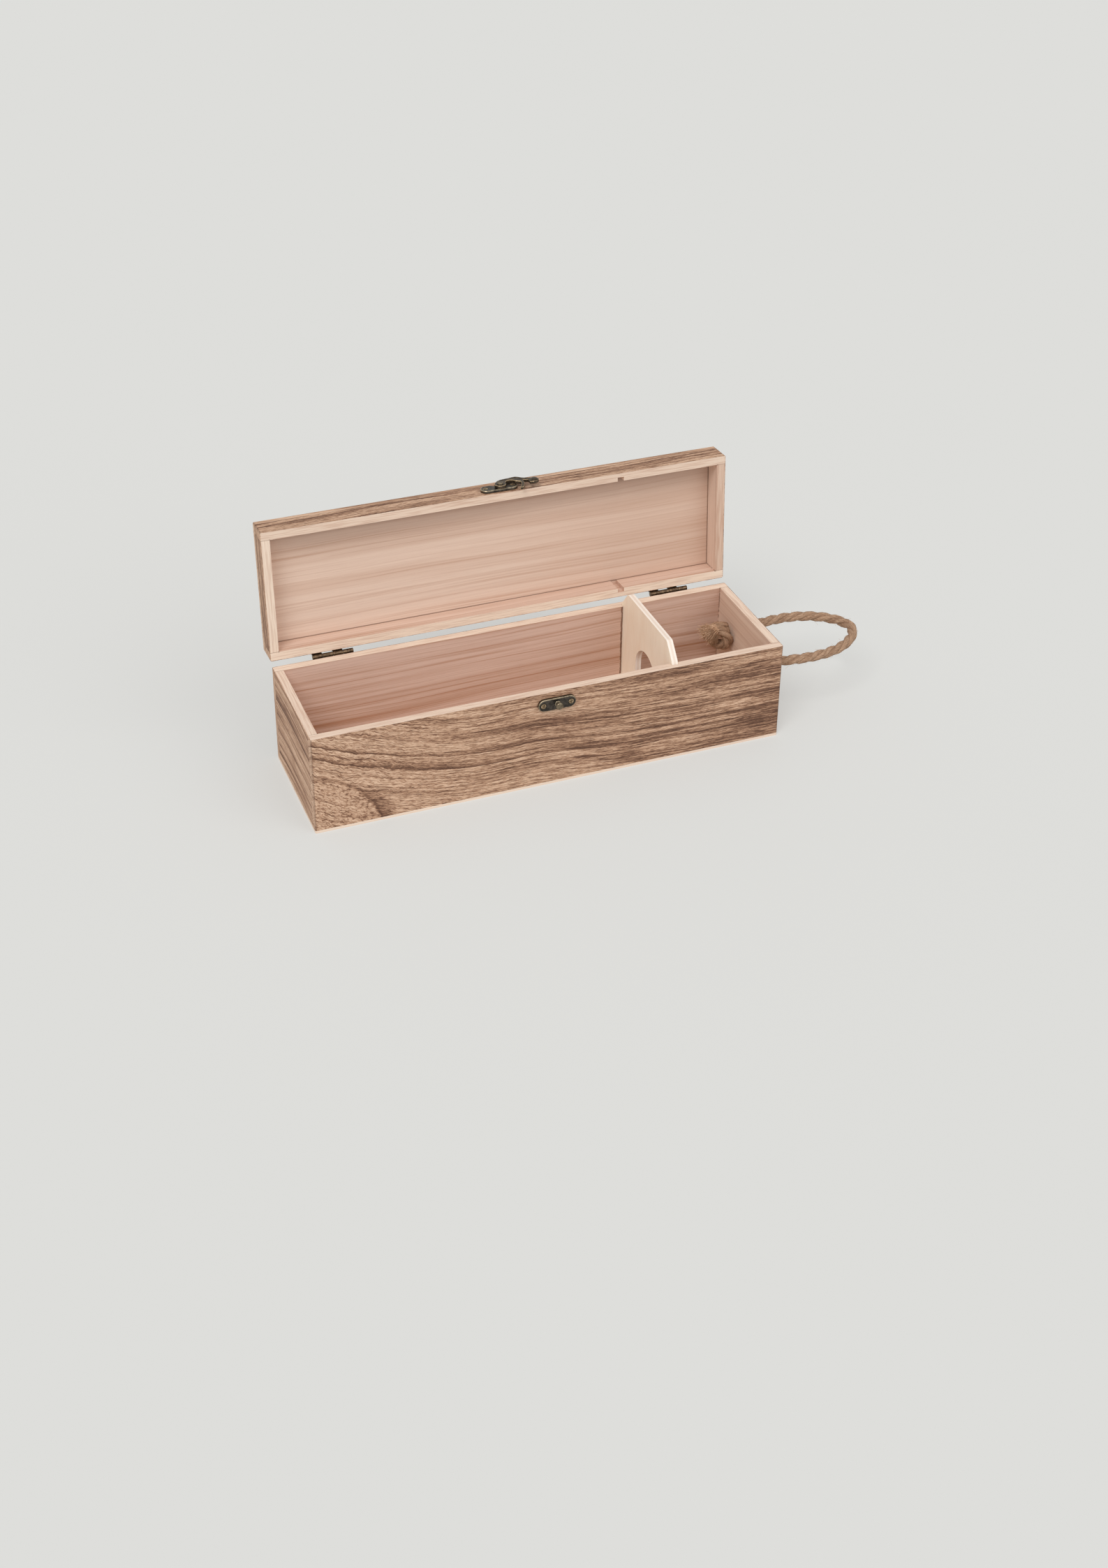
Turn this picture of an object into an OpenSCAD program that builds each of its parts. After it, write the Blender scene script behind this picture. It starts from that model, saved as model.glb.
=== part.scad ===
// Wooden presentation box for one bottle: a glued box with a hinged lid, a swing-hook
// latch, a slotted board that holds the bottle's neck, and a rope handle at the right end.
// Origin: centre of the underside. +X runs along the box towards the rope, the front is -Y.

/* [Box] */
// Outside length of the box
box_length = 350; // [330:1:400]
// Outside width of the box, front to back
box_width = 99; // [90:1:120]
// Height from the table to the seam under the lid
body_height = 76; // [70:1:100]
// Height of the lid, from the seam to its top face
lid_height = 20; // [17:0.5:28]
// Thickness of the front, back and end boards
wall = 6.5; // [6:0.5:9]
// Thickness of the bottom panel
bottom_thick = 2; // [1.5:0.5:4]
// Thickness of the lid's top panel
top_thick = 5; // [4:0.5:6]
// Gap at the seam when the lid is shut
seam_gap = 0.2; // [0.1:0.05:0.4]
// Sanded chamfer on the outer edges
edge_chamfer = 0.7; // [0.3:0.1:1.2]

/* [Neck divider] */
// Thickness of the divider board
divider_thick = 4.5; // [3:0.5:5]
// Length of the end compartment, from the divider to the right end board
neck_room = 74.5; // [60:0.5:90]
// Depth of the grooves that hold the divider
groove_depth = 3; // [2:0.5:3.5]
// Clearance between the divider and its grooves
groove_gap = 0.2; // [0.1:0.05:0.3]
// Space between the divider and the shut lid
divider_headroom = 1; // [0.5:0.1:2]
// Width of the divider's cut top corners
corner_width = 11; // [8:0.5:14]
// Height of the divider's cut top corners
corner_drop = 13; // [10:0.5:16]
// Radius at the upper end of each cut corner
upper_corner_r = 3; // [1:0.5:5]
// Radius at the lower end of each cut corner
lower_corner_r = 8; // [4:0.5:12]
// Radius of the arch over the bottle's neck
neck_r = 17.5; // [15:0.5:20]
// Height of the bottle's axis above the bottom panel
neck_height = 40; // [37:0.5:43]

/* [Hinges] */
// Distance from each end of the box to the middle of its hinge
hinge_inset = 45; // [35:1:80]
// Length of each hinge
hinge_length = 30; // [26:1:36]
// Distance from the pin to the far edge of a leaf
leaf_reach = 10.5; // [9:0.5:12]
// Thickness of the leaf metal
leaf_thick = 0.9; // [0.7:0.1:1.1]
// Outside radius of the rolled knuckles
knuckle_r = 1.7; // [1.6:0.1:1.9]
// Radius of the hinge pin
pin_r = 0.8; // [0.6:0.1:1]
// Radial clearance of the pin in the knuckles
pin_gap = 0.05; // [0.03:0.01:0.1]
// Gap between neighbouring knuckles
knuckle_gap = 0.3; // [0.2:0.05:0.5]
// Gap between the knuckles and the back of the box
hinge_stand = 1.1; // [0.9:0.05:1.3]
// Gap between the knuckles and the flat part of a leaf that they pass
leaf_gap = 0.5; // [0.4:0.05:0.7]
// Distance from a leaf's ends to its screws
leaf_screw_inset = 6; // [5:0.5:8]
// Angle that the lid opens through from shut
lid_open = 94; // [88:1:100]

/* [Latch] */
// Distance of the latch to the right of the middle of the front
latch_x = 0.4; // [-5:0.1:5]
// Thickness of the hook plate and the catch plate
plate_thick = 2.4; // [1.8:0.1:2.8]
// Bevel around the edges of both plates
plate_bevel = 0.6; // [0.3:0.1:0.8]
// Length of the catch plate
catch_length = 28; // [26:0.5:30]
// Height of the catch plate
catch_height = 9.5; // [8.5:0.5:10]
// Distance from the seam down to the middle of the catch plate
catch_drop = 8.6; // [8:0.1:10]
// Distance between the screws of a plate
plate_screws_apart = 20.5; // [19.5:0.1:21.5]
// Length of the hook plate
hook_plate_length = 27.5; // [26:0.5:30]
// Height of the hook plate's two lobes
hook_plate_height = 9.2; // [8.6:0.1:10]
// Distance from the lid's rim up to the hook plate
hook_plate_rise = 1.1; // [0.4:0.1:1.8]
// Width of the cut between the hook plate's lobes
plate_cut_width = 8; // [7:0.5:9]
// Depth of the cut between the hook plate's lobes
plate_cut_depth = 1.6; // [1:0.1:2]
// Radius of the stud's neck
stud_neck_r = 1.25; // [1:0.05:1.5]
// Radius of the stud's head
stud_head_r = 2.7; // [2.4:0.1:3]
// Thickness of the stud's head
stud_head_thick = 1.6; // [1.2:0.1:2]
// Radius of the hook's hub
hub_r = 4.2; // [3.9:0.1:4.6]
// Thickness of the hook
hook_thick = 2.2; // [1.8:0.1:2.6]
// Distance from the rivet sideways to the widest point of the hook
arm_reach = 11.1; // [10:0.1:12]
// Width of the claw that passes under the stud
claw_width = 2; // [1.6:0.1:2.4]
// Distance from the rivet down to the thumb tab
tab_drop = 24.1; // [23:0.1:25]
// Radius of the thumb tab
tab_r = 3.8; // [3.4:0.1:4.2]
// Radius of the rivet's shank
rivet_r = 1.5; // [1.3:0.1:1.7]
// Radius of the rivet's head
rivet_head_r = 2.3; // [2.1:0.1:2.8]
// Thickness of the rivet's head
rivet_head_thick = 1; // [0.8:0.1:1.3]
// Running clearance between the hook and the plates, the stud and the rivet's head
hook_gap = 0.2; // [0.15:0.05:0.3]
// Clearance between the claw and the stud's neck as the hook swings
claw_gap = 0.35; // [0.25:0.05:0.5]
// Angle that the hook has swung up from latched
hook_swing = 78; // [0:1:180]

/* [Screws] */
// Radius of the screws' shanks
screw_r = 1; // [0.8:0.1:1.1]
// Radius of the screws' heads
screw_head_r = 1.9; // [1.7:0.1:2.1]
// Length of the screws, heads included
screw_length = 6.5; // [6:0.5:7.5]
// Radial clearance around the screws
screw_gap = 0.04; // [0.02:0.01:0.06]
// Width and depth of the slots in the screws' heads
cross_width = 0.5; // [0.4:0.1:0.6]

/* [Rope handle] */
// Thickness of the rope
rope_d = 8; // [7:0.5:9]
// Distance between the two rope holes
rope_holes_apart = 52; // [48:1:56]
// Height of the rope holes above the table
rope_height = 48; // [40:1:52]
// Radial clearance of the rope in its holes
rope_hole_gap = 0.25; // [0.2:0.05:0.4]
// Radius of the ring that the knot makes
knot_ring_r = 6.5; // [6:0.5:7]

/* [Hidden] */
$fn = 64;

// Colours
torched = [0.66, 0.50, 0.37];
bare_wood = [0.86, 0.74, 0.63];
plywood = [0.90, 0.80, 0.67];
bronze = [0.30, 0.26, 0.20];
worn_bronze = [0.52, 0.45, 0.32];
jute = [0.62, 0.49, 0.36];

// A little more than a cut needs, so that it leaves no skin
over = 1;

// Faces of the box
right = box_length / 2;
front = -box_width / 2;
back = box_width / 2;
inner_right = right - wall;
inner_back = back - wall;
lid_rim = body_height + seam_gap;
lid_top = lid_rim + lid_height;
rail_top = lid_top - top_thick;

// Divider and its grooves
divider_right = inner_right - neck_room;
divider_left = divider_right - divider_thick;
divider_top = rail_top - divider_headroom;
corner_steps = 8;
divider_side = inner_back + groove_depth - groove_gap;
arch_z = bottom_thick + neck_height;

// Hinge axis, knuckles, and a leaf's flat part and screws from that axis
hinge_x = right - hinge_inset;
hinge_y = back + hinge_stand + knuckle_r;
hinge_z = body_height + seam_gap / 2;
knuckle_count = 4;
knuckle_pitch = hinge_length / knuckle_count;
leaf_start = knuckle_r + leaf_gap;
leaf_wood_y = -(hinge_stand + knuckle_r);
leaf_screw_z = (leaf_start + leaf_reach) / 2;
leaf_screw_x = hinge_length / 2 - leaf_screw_inset;

// Latch, in the plane of the front face: x to the right and y up from the seam.
// The stud and the rivet sit a little off the middles of their plates.
stud_right = 0.3;
rivet_right = 0.8;
rivet_down = 0.9;
catch_y = -catch_drop;
stud_x = latch_x + stud_right;
hook_plate_y = seam_gap + hook_plate_rise + hook_plate_height / 2;
pivot_x = latch_x + rivet_right;
pivot_y = hook_plate_y - rivet_down;
stud_swing_r = norm([stud_x - pivot_x, catch_y - pivot_y]);
claw_inner_r = stud_swing_r + stud_neck_r + claw_gap;
claw_outer_r = claw_inner_r + claw_width;
hook_back = plate_thick + hook_gap;
hook_front = hook_back + hook_thick;
stud_head_back = hook_front + hook_gap;
rivet_head_back = hook_front + hook_gap / 2;
stud_back_bevel = 0.3;
stud_face_bevel = 0.5;

// Hook outline, from the rivet, with the hook hanging down
throat_x = 1.9;
throat_y = claw_inner_r - 7.4;
throat_r = 3.8;
claw_tip_x = -7.3;
slot_end_x = 2.6;
widest_y = claw_inner_r - 3.8;
waist_y = claw_outer_r - 1.3;
waist_left = 5;
waist_right = 8.3;
tab_x = 1.6;

// Rope handle: the loop's centre line as distance out from the end board, and y.
// Half of it is listed, from the hole to the tip of the loop; the other half mirrors it.
rope_r = rope_d / 2;
hole_y = rope_holes_apart / 2;
wall_gap = 0.1;
loop_start = rope_r + wall_gap;
half_loop = [[loop_start, hole_y], [12, 26.7], [20, 27.8], [30, 28.9], [40, 29], [49.5, 27.9],
    [58.5, 25.5], [66.5, 21.7], [73.3, 16.8], [78.6, 11], [81.9, 4.8]];
loop_tip = [82.9, 0];
loop_sides = 12;
cap_steps = 3;
knot_x = inner_right - wall_gap - rope_r;
knot_end_tilt = -60;
knot_end_turn = 20;

// ---- helpers ----

// Puts a lid piece, drawn shut, where the open lid carries it
module on_lid() {
    translate([0, hinge_y, hinge_z])
        rotate([-lid_open, 0, 0])
            translate([0, -hinge_y, -hinge_z])
                children();
}

// Turns x right, y up, z out of the face, from the seam, into the box's frame
module on_front() {
    translate([0, front, body_height])
        rotate([90, 0, 0])
            children();
}

// The hook's own frame: the rivet is the origin and the hook hangs down when latched
module on_rivet() {
    on_lid()
        on_front()
            translate([pivot_x, pivot_y, 0])
                children();
}

module chamfered_rectangle(w, h) {
    c = edge_chamfer;
    polygon([[c - w / 2, -h / 2], [w / 2 - c, -h / 2], [w / 2, c - h / 2], [w / 2, h / 2 - c],
        [w / 2 - c, h / 2], [c - w / 2, h / 2], [-w / 2, h / 2 - c], [-w / 2, c - h / 2]]);
}

// The shut box as one block with sanded edges; its foot stays sharp
module sanded_block() {
    tall = lid_top + edge_chamfer;
    mid_z = lid_top - tall / 2;
    intersection() {
        translate([0, 0, -over])
            linear_extrude(tall + over)
                chamfered_rectangle(box_length, box_width);
        translate([-right, 0, mid_z])
            rotate([90, 0, 90])
                linear_extrude(box_length)
                    chamfered_rectangle(box_width, tall);
        translate([0, back, mid_z])
            rotate([90, 0, 0])
                linear_extrude(box_width)
                    chamfered_rectangle(box_length, tall);
    }
}

// A board of the shut box, from its lowest corner to its highest
module board(low, high) {
    intersection() {
        translate(low)
            cube(high - low);
        sanded_block();
    }
}

// The vertical groove for the divider in a long board, cut from the inside
module divider_groove(side, z0, z1) {
    y0 = side > 0 ? inner_back - over : -inner_back - groove_depth;
    translate([divider_left - groove_gap, y0, z0 - over])
        cube([divider_thick + 2 * groove_gap, groove_depth + over, z1 - z0 + 2 * over]);
}

// Runs its children at the two screw places of a plate on the front
module at_plate_screws(y) {
    for (side = [-1, 1])
        translate([latch_x + side * plate_screws_apart / 2, y, 0])
            children();
}

// Runs its children at each hinge's middle, on the hinge axis
module at_hinge(side) {
    translate([side * hinge_x, hinge_y, hinge_z])
        children();
}

// Runs its children at a leaf's two screws, z out of the back face. lid is 1 or -1.
module at_leaf_screws(lid) {
    for (side = [-1, 1])
        translate([side * leaf_screw_x, leaf_wood_y, lid * leaf_screw_z])
            rotate([-90, 0, 0])
                children();
}

// A countersunk screw: its head's face is at z = thick, and it points down
module screw(thick) {
    sink = screw_head_r - screw_r;
    slot_half = 0.7 * screw_head_r;
    difference() {
        union() {
            translate([0, 0, thick - screw_length])
                cylinder(r = screw_r, h = screw_length - sink);
            translate([0, 0, thick - sink])
                cylinder(r1 = screw_r, r2 = screw_head_r, h = sink);
        }
        for (turn = [0, 90])
            rotate([0, 0, turn])
                translate([-slot_half, -cross_width / 2, thick - cross_width])
                    cube([2 * slot_half, cross_width, cross_width + over]);
    }
}

// The hole that a screw needs in a plate of that thickness, and in the wood behind it
module screw_hole(thick) {
    sink = screw_head_r - screw_r;
    translate([0, 0, thick - screw_length - screw_gap])
        cylinder(r = screw_r + screw_gap, h = screw_length + over);
    translate([0, 0, thick - sink - screw_gap])
        cylinder(r1 = screw_r + screw_gap, r2 = screw_head_r + 2 * screw_gap,
            h = sink + screw_gap);
    translate([0, 0, thick])
        cylinder(r = screw_head_r + 2 * screw_gap, h = over);
}

// A round-ended plate with a bevelled face, its back on z = 0
module stadium_plate(w, h) {
    flat = plate_thick - plate_bevel;
    for (side = [-1, 1])
        translate([side * (w - h) / 2, 0, 0]) {
            cylinder(d = h, h = flat);
            translate([0, 0, flat])
                cylinder(r1 = h / 2, r2 = h / 2 - plate_bevel, h = plate_bevel);
        }
    translate([(h - w) / 2, 0, 0])
        rotate([90, 0, 90])
            linear_extrude(w - h)
                polygon([[-h / 2, 0], [h / 2, 0], [h / 2, flat],
                    [h / 2 - plate_bevel, plate_thick], [plate_bevel - h / 2, plate_thick],
                    [-h / 2, flat]]);
}

// ---- the box ----

module bottom_panel() {
    color(bare_wood)
        board([-right, front, 0], [right, back, bottom_thick]);
}

module front_panel() {
    color(torched)
        difference() {
            board([-right, front, bottom_thick], [right, front + wall, body_height]);
            divider_groove(-1, bottom_thick, body_height);
            on_front()
                at_plate_screws(catch_y)
                    screw_hole(plate_thick);
        }
}

module back_panel() {
    color(torched)
        difference() {
            board([-right, inner_back, bottom_thick], [right, back, body_height]);
            divider_groove(1, bottom_thick, body_height);
            for (side = [-1, 1])
                at_hinge(side)
                    at_leaf_screws(-1)
                        screw_hole(leaf_thick);
        }
}

module left_end_panel() {
    color(torched)
        board([-right, -inner_back, bottom_thick], [wall - right, inner_back, body_height]);
}

module right_end_panel() {
    color(torched)
        difference() {
            board([inner_right, -inner_back, bottom_thick], [right, inner_back, body_height]);
            for (side = [-1, 1])
                translate([inner_right - over, side * hole_y, rope_height])
                    rotate([0, 90, 0])
                        cylinder(r = rope_r + rope_hole_gap, h = wall + 2 * over);
        }
}

// The same points mirrored left to right, in reverse order
function flipped(points) = [for (i = [len(points) - 1 : -1 : 0]) [-points[i].x, points[i].y]];

// Points along the rounding at corner b of an outline that runs from a to c
function rounded(a, b, c, r) =
    let (u = (a - b) / norm(a - b), v = (c - b) / norm(c - b), half = acos(u * v) / 2,
        centre = b + (u + v) / norm(u + v) * r / sin(half), turn = 180 - 2 * half,
        p = b + u * r / tan(half) - centre, q = b + v * r / tan(half) - centre)
    [for (t = [0 : 1 / corner_steps : 1])
        centre + (sin((1 - t) * turn) * p + sin(t * turn) * q) / sin(turn)];

module neck_divider() {
    side = divider_side;
    top = divider_top;
    foot = [side, bottom_thick];
    low = [side, top - corner_drop];
    high = [side - corner_width, top];
    right_half = concat([foot], rounded(foot, low, high, lower_corner_r),
        rounded(low, high, [0, top], upper_corner_r));
    color(plywood)
        difference() {
            translate([divider_left, 0, 0])
                rotate([90, 0, 90])
                    linear_extrude(divider_thick)
                        polygon(concat(right_half, flipped(right_half)));
            translate([divider_left - over, 0, arch_z])
                rotate([0, 90, 0])
                    cylinder(r = neck_r, h = divider_thick + 2 * over);
            translate([divider_left - over, -neck_r, bottom_thick - over])
                cube([divider_thick + 2 * over, 2 * neck_r, neck_height + over]);
        }
}

// ---- the lid ----

module lid_top_panel() {
    color(torched)
        on_lid()
            board([-right, front, rail_top], [right, back, lid_top]);
}

module lid_front_rail() {
    color(torched)
        on_lid()
            difference() {
                board([-right, front, lid_rim], [right, front + wall, rail_top]);
                divider_groove(-1, lid_rim, rail_top);
                on_front()
                    at_plate_screws(hook_plate_y)
                        screw_hole(plate_thick);
            }
}

module lid_back_rail() {
    color(torched)
        on_lid()
            difference() {
                board([-right, inner_back, lid_rim], [right, back, rail_top]);
                divider_groove(1, lid_rim, rail_top);
                for (side = [-1, 1])
                    at_hinge(side)
                        at_leaf_screws(1)
                            screw_hole(leaf_thick);
            }
}

module lid_left_rail() {
    color(torched)
        on_lid()
            board([-right, -inner_back, lid_rim], [wall - right, inner_back, rail_top]);
}

module lid_right_rail() {
    color(torched)
        on_lid()
            board([inner_right, -inner_back, lid_rim], [right, inner_back, rail_top]);
}

// ---- the hinges ----

// One leaf on the hinge axis, drawn shut. lid is 1 for the lid's leaf and -1 for the box's.
module hinge_leaf(lid) {
    plate_z = lid > 0 ? leaf_start : -leaf_reach;
    tab_z = lid > 0 ? 0 : -leaf_start - leaf_thick;
    bend_z = lid > 0 ? leaf_start : tab_z;
    first = lid > 0 ? 0 : 1;
    color(bronze)
        difference() {
            union() {
                translate([-hinge_length / 2, leaf_wood_y, plate_z])
                    cube([hinge_length, leaf_thick, leaf_reach - leaf_start]);
                for (k = [first : 2 : knuckle_count - 1])
                    translate([(k * knuckle_pitch) - (hinge_length - knuckle_gap) / 2, 0, 0]) {
                        rotate([0, 90, 0])
                            cylinder(r = knuckle_r, h = knuckle_pitch - knuckle_gap);
                        translate([0, -knuckle_r, tab_z])
                            cube([knuckle_pitch - knuckle_gap, leaf_thick,
                                leaf_start + leaf_thick]);
                        translate([0, leaf_wood_y, bend_z])
                            cube([knuckle_pitch - knuckle_gap, hinge_stand + leaf_thick,
                                leaf_thick]);
                    }
            }
            translate([-hinge_length, 0, 0])
                rotate([0, 90, 0])
                    cylinder(r = pin_r + pin_gap, h = 2 * hinge_length);
            at_leaf_screws(lid)
                screw_hole(leaf_thick);
        }
}

module hinge_pin(side) {
    color(worn_bronze)
        at_hinge(side)
            translate([-hinge_length / 2, 0, 0])
                rotate([0, 90, 0])
                    cylinder(r = pin_r, h = hinge_length);
}

module hinge_screws(lid) {
    color(worn_bronze)
        for (side = [-1, 1])
            at_hinge(side)
                at_leaf_screws(lid)
                    screw(leaf_thick);
}

module left_hinge_body_leaf() {
    at_hinge(-1)
        hinge_leaf(-1);
}

module right_hinge_body_leaf() {
    at_hinge(1)
        hinge_leaf(-1);
}

module left_hinge_lid_leaf() {
    on_lid()
        at_hinge(-1)
            hinge_leaf(1);
}

module right_hinge_lid_leaf() {
    on_lid()
        at_hinge(1)
            hinge_leaf(1);
}

module left_hinge_pin() {
    hinge_pin(-1);
}

module right_hinge_pin() {
    hinge_pin(1);
}

module hinge_body_screws() {
    hinge_screws(-1);
}

module hinge_lid_screws() {
    on_lid()
        hinge_screws(1);
}

// ---- the latch ----

module catch_plate() {
    color(bronze)
        on_front()
            difference() {
                translate([latch_x, catch_y, 0])
                    stadium_plate(catch_length, catch_height);
                at_plate_screws(catch_y)
                    screw_hole(plate_thick);
                translate([stud_x, catch_y, -over])
                    cylinder(r = stud_neck_r + screw_gap, h = plate_thick + 2 * over);
            }
}

module catch_stud() {
    color(worn_bronze)
        on_front()
            translate([stud_x, catch_y, 0]) {
                cylinder(r = stud_neck_r, h = stud_head_back + stud_head_thick / 2);
                translate([0, 0, stud_head_back])
                    rotate_extrude()
                        polygon([[0, 0], [stud_head_r - stud_back_bevel, 0],
                            [stud_head_r, stud_back_bevel],
                            [stud_head_r, stud_head_thick - stud_face_bevel],
                            [stud_head_r - stud_face_bevel, stud_head_thick],
                            [0, stud_head_thick]]);
            }
}

module catch_plate_screws() {
    color(worn_bronze)
        on_front()
            at_plate_screws(catch_y)
                screw(plate_thick);
}

module hook_plate() {
    top = hook_plate_height / 2;
    color(bronze)
        on_lid()
            on_front()
                difference() {
                    translate([latch_x, hook_plate_y, 0])
                        stadium_plate(hook_plate_length, hook_plate_height);
                    translate([latch_x - plate_cut_width / 2,
                        hook_plate_y + top - plate_cut_depth, -over])
                        cube([plate_cut_width, plate_cut_depth + over,
                            plate_thick + 2 * over]);
                    at_plate_screws(hook_plate_y)
                        screw_hole(plate_thick);
                    translate([pivot_x, pivot_y, -over])
                        cylinder(r = rivet_r + screw_gap, h = plate_thick + 2 * over);
                }
}

module hook_plate_screws() {
    color(worn_bronze)
        on_lid()
            on_front()
                at_plate_screws(hook_plate_y)
                    screw(plate_thick);
}

module hook_rivet() {
    color(worn_bronze)
        on_rivet() {
            cylinder(r = rivet_r, h = rivet_head_back + rivet_head_thick / 2);
            translate([0, 0, rivet_head_back])
                rotate_extrude()
                    polygon([[0, 0], [rivet_head_r, 0], [rivet_head_r, rivet_head_thick / 2],
                        [rivet_head_r / 2, rivet_head_thick], [0, rivet_head_thick]]);
        }
}

// The hook's outline, hanging down from the rivet, its throat open to the left
module hook_outline() {
    reach = claw_outer_r + over;
    difference() {
        union() {
            polygon([[tab_x, -tab_drop], [tab_x + tab_r - 0.1, -tab_drop],
                [waist_right - 0.8, -claw_outer_r - 2], [waist_right, -waist_y],
                [arm_reach - 1.5, -widest_y - 3.3], [arm_reach - 0.2, -widest_y - 1.4],
                [arm_reach, -widest_y], [arm_reach - 0.8, -widest_y + 2],
                [arm_reach - 2.2, -widest_y + 4.9], [hub_r + 3.2, -hub_r / 3],
                [hub_r + 1.9, hub_r / 4], [hub_r - 0.7, hub_r - 1.2], [0, 0],
                [slot_end_x, -claw_inner_r], [waist_left, -waist_y],
                [waist_left - 0.7, -claw_outer_r - 1]]);
            intersection() {
                circle(claw_outer_r);
                translate([claw_tip_x, -reach])
                    square([waist_left - claw_tip_x, reach - throat_y - throat_r]);
            }
        }
        translate([throat_x, -throat_y])
            circle(throat_r);
        intersection() {
            circle(claw_inner_r);
            translate([slot_end_x - 2 * reach, -reach])
                square([2 * reach, reach - hub_r / 2]);
        }
    }
    circle(hub_r);
    translate([tab_x, -tab_drop])
        circle(tab_r);
}

module swing_hook() {
    color(bronze)
        on_rivet()
            rotate([0, 0, hook_swing])
                difference() {
                    translate([0, 0, hook_back])
                        linear_extrude(hook_thick)
                            hook_outline();
                    cylinder(r = rivet_r + pin_gap, h = hook_front + over);
                }
}

// ---- the rope handle ----

// One knot inside the right end, the rope that fills its hole, and the cut end of the rope
module rope_knot(side) {
    color(jute)
        translate([0, side * hole_y, rope_height]) {
            translate([knot_x, 0, 0])
                rotate([0, 90, 0])
                    cylinder(r = rope_r, h = right - knot_x);
            translate([knot_x, 0, 0])
                rotate([0, 90, 0])
                    rotate_extrude()
                        translate([knot_ring_r, 0])
                            circle(rope_r);
            translate([knot_x - rope_r, 0, 0])
                sphere(knot_ring_r);
            translate([knot_x - rope_r, 0, 0])
                rotate([0, knot_end_tilt, knot_end_turn])
                    cylinder(r = rope_r, h = knot_ring_r + rope_d);
        }
}

module front_rope_knot() {
    rope_knot(-1);
}

module rear_rope_knot() {
    rope_knot(1);
}

function mirrored(points) = [for (p = flipped(points)) -p];

function heading(line, i) =
    let (a = line[max(i - 1, 0)], b = line[min(i + 1, len(line) - 1)]) (b - a) / norm(b - a);

// A ring round the rope at a point of its line, moved along by ahead, at a share of its radius
function ring(line, i, ahead, share) =
    let (u = heading(line, i), c = line[i] + ahead * u)
    [for (k = [0 : loop_sides - 1])
        let (a = 360 * k / loop_sides, across = rope_r * share * cos(a))
        [right + c.x - across * u.y, c.y + across * u.x, rope_height + rope_r * share * sin(a)]];

// The loop outside the end board, a swept tube whose ends are rounded to turn at the holes
module rope_handle() {
    line = concat(half_loop, [loop_tip], mirrored(half_loop));
    last = len(line) - 1;
    caps = [for (s = [cap_steps : -1 : 1]) 90 * s / (cap_steps + 1)];
    start_rings = [for (a = caps) ring(line, 0, -rope_r * sin(a), cos(a))];
    tube_rings = [for (i = [0 : last]) ring(line, i, 0, 1)];
    end_rings = [for (s = [cap_steps - 1 : -1 : 0])
        ring(line, last, rope_r * sin(caps[s]), cos(caps[s]))];
    rings = concat(start_rings, tube_rings, end_rings);
    count = len(rings);
    start_pole = ring(line, 0, -rope_r, 0)[0];
    end_pole = ring(line, last, rope_r, 0)[0];
    points = concat([for (r = rings) each r], [start_pole, end_pole]);
    n = loop_sides;
    sides = [for (j = [0 : count - 2], k = [0 : n - 1])
        [j * n + k, j * n + (k + 1) % n, (j + 1) * n + (k + 1) % n, (j + 1) * n + k]];
    start_fan = [for (k = [0 : n - 1]) [count * n, (k + 1) % n, k]];
    end_fan = [for (k = [0 : n - 1])
        [count * n + 1, (count - 1) * n + k, (count - 1) * n + (k + 1) % n]];
    color(jute)
        polyhedron(points, concat(sides, start_fan, end_fan), convexity = 4);
}

// ---- what is drawn ----

bottom_panel();
front_panel();
back_panel();
left_end_panel();
right_end_panel();
neck_divider();
lid_top_panel();
lid_front_rail();
lid_back_rail();
lid_left_rail();
lid_right_rail();
left_hinge_body_leaf();
right_hinge_body_leaf();
left_hinge_lid_leaf();
right_hinge_lid_leaf();
left_hinge_pin();
right_hinge_pin();
hinge_body_screws();
hinge_lid_screws();
catch_plate();
catch_stud();
catch_plate_screws();
hook_plate();
hook_plate_screws();
hook_rivet();
swing_hook();
front_rope_knot();
rear_rope_knot();
rope_handle();
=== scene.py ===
"""Wooden wine box, open: torched and brushed boards, raw wood inside, an antique bronze
swing hook and hinges, and a three-strand jute rope handle. Metres; helpers take millimetres."""
import math
from functools import partialmethod

import bmesh
import bpy
import numpy as np
from mathutils import Matrix, Vector


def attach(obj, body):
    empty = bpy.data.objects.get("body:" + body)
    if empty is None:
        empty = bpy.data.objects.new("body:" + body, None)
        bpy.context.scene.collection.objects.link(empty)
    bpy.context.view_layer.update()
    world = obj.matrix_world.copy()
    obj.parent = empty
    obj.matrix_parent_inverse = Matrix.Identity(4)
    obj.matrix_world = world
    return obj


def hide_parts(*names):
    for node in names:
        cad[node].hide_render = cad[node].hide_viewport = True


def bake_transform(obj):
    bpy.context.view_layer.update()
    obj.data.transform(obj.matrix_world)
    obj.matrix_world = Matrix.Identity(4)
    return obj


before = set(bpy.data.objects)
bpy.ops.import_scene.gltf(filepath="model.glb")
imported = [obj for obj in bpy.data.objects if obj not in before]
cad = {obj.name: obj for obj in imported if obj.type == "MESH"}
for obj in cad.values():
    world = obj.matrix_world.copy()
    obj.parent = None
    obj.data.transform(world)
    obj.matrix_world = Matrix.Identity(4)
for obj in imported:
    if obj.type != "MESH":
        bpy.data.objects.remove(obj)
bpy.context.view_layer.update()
MM = 0.001

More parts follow.
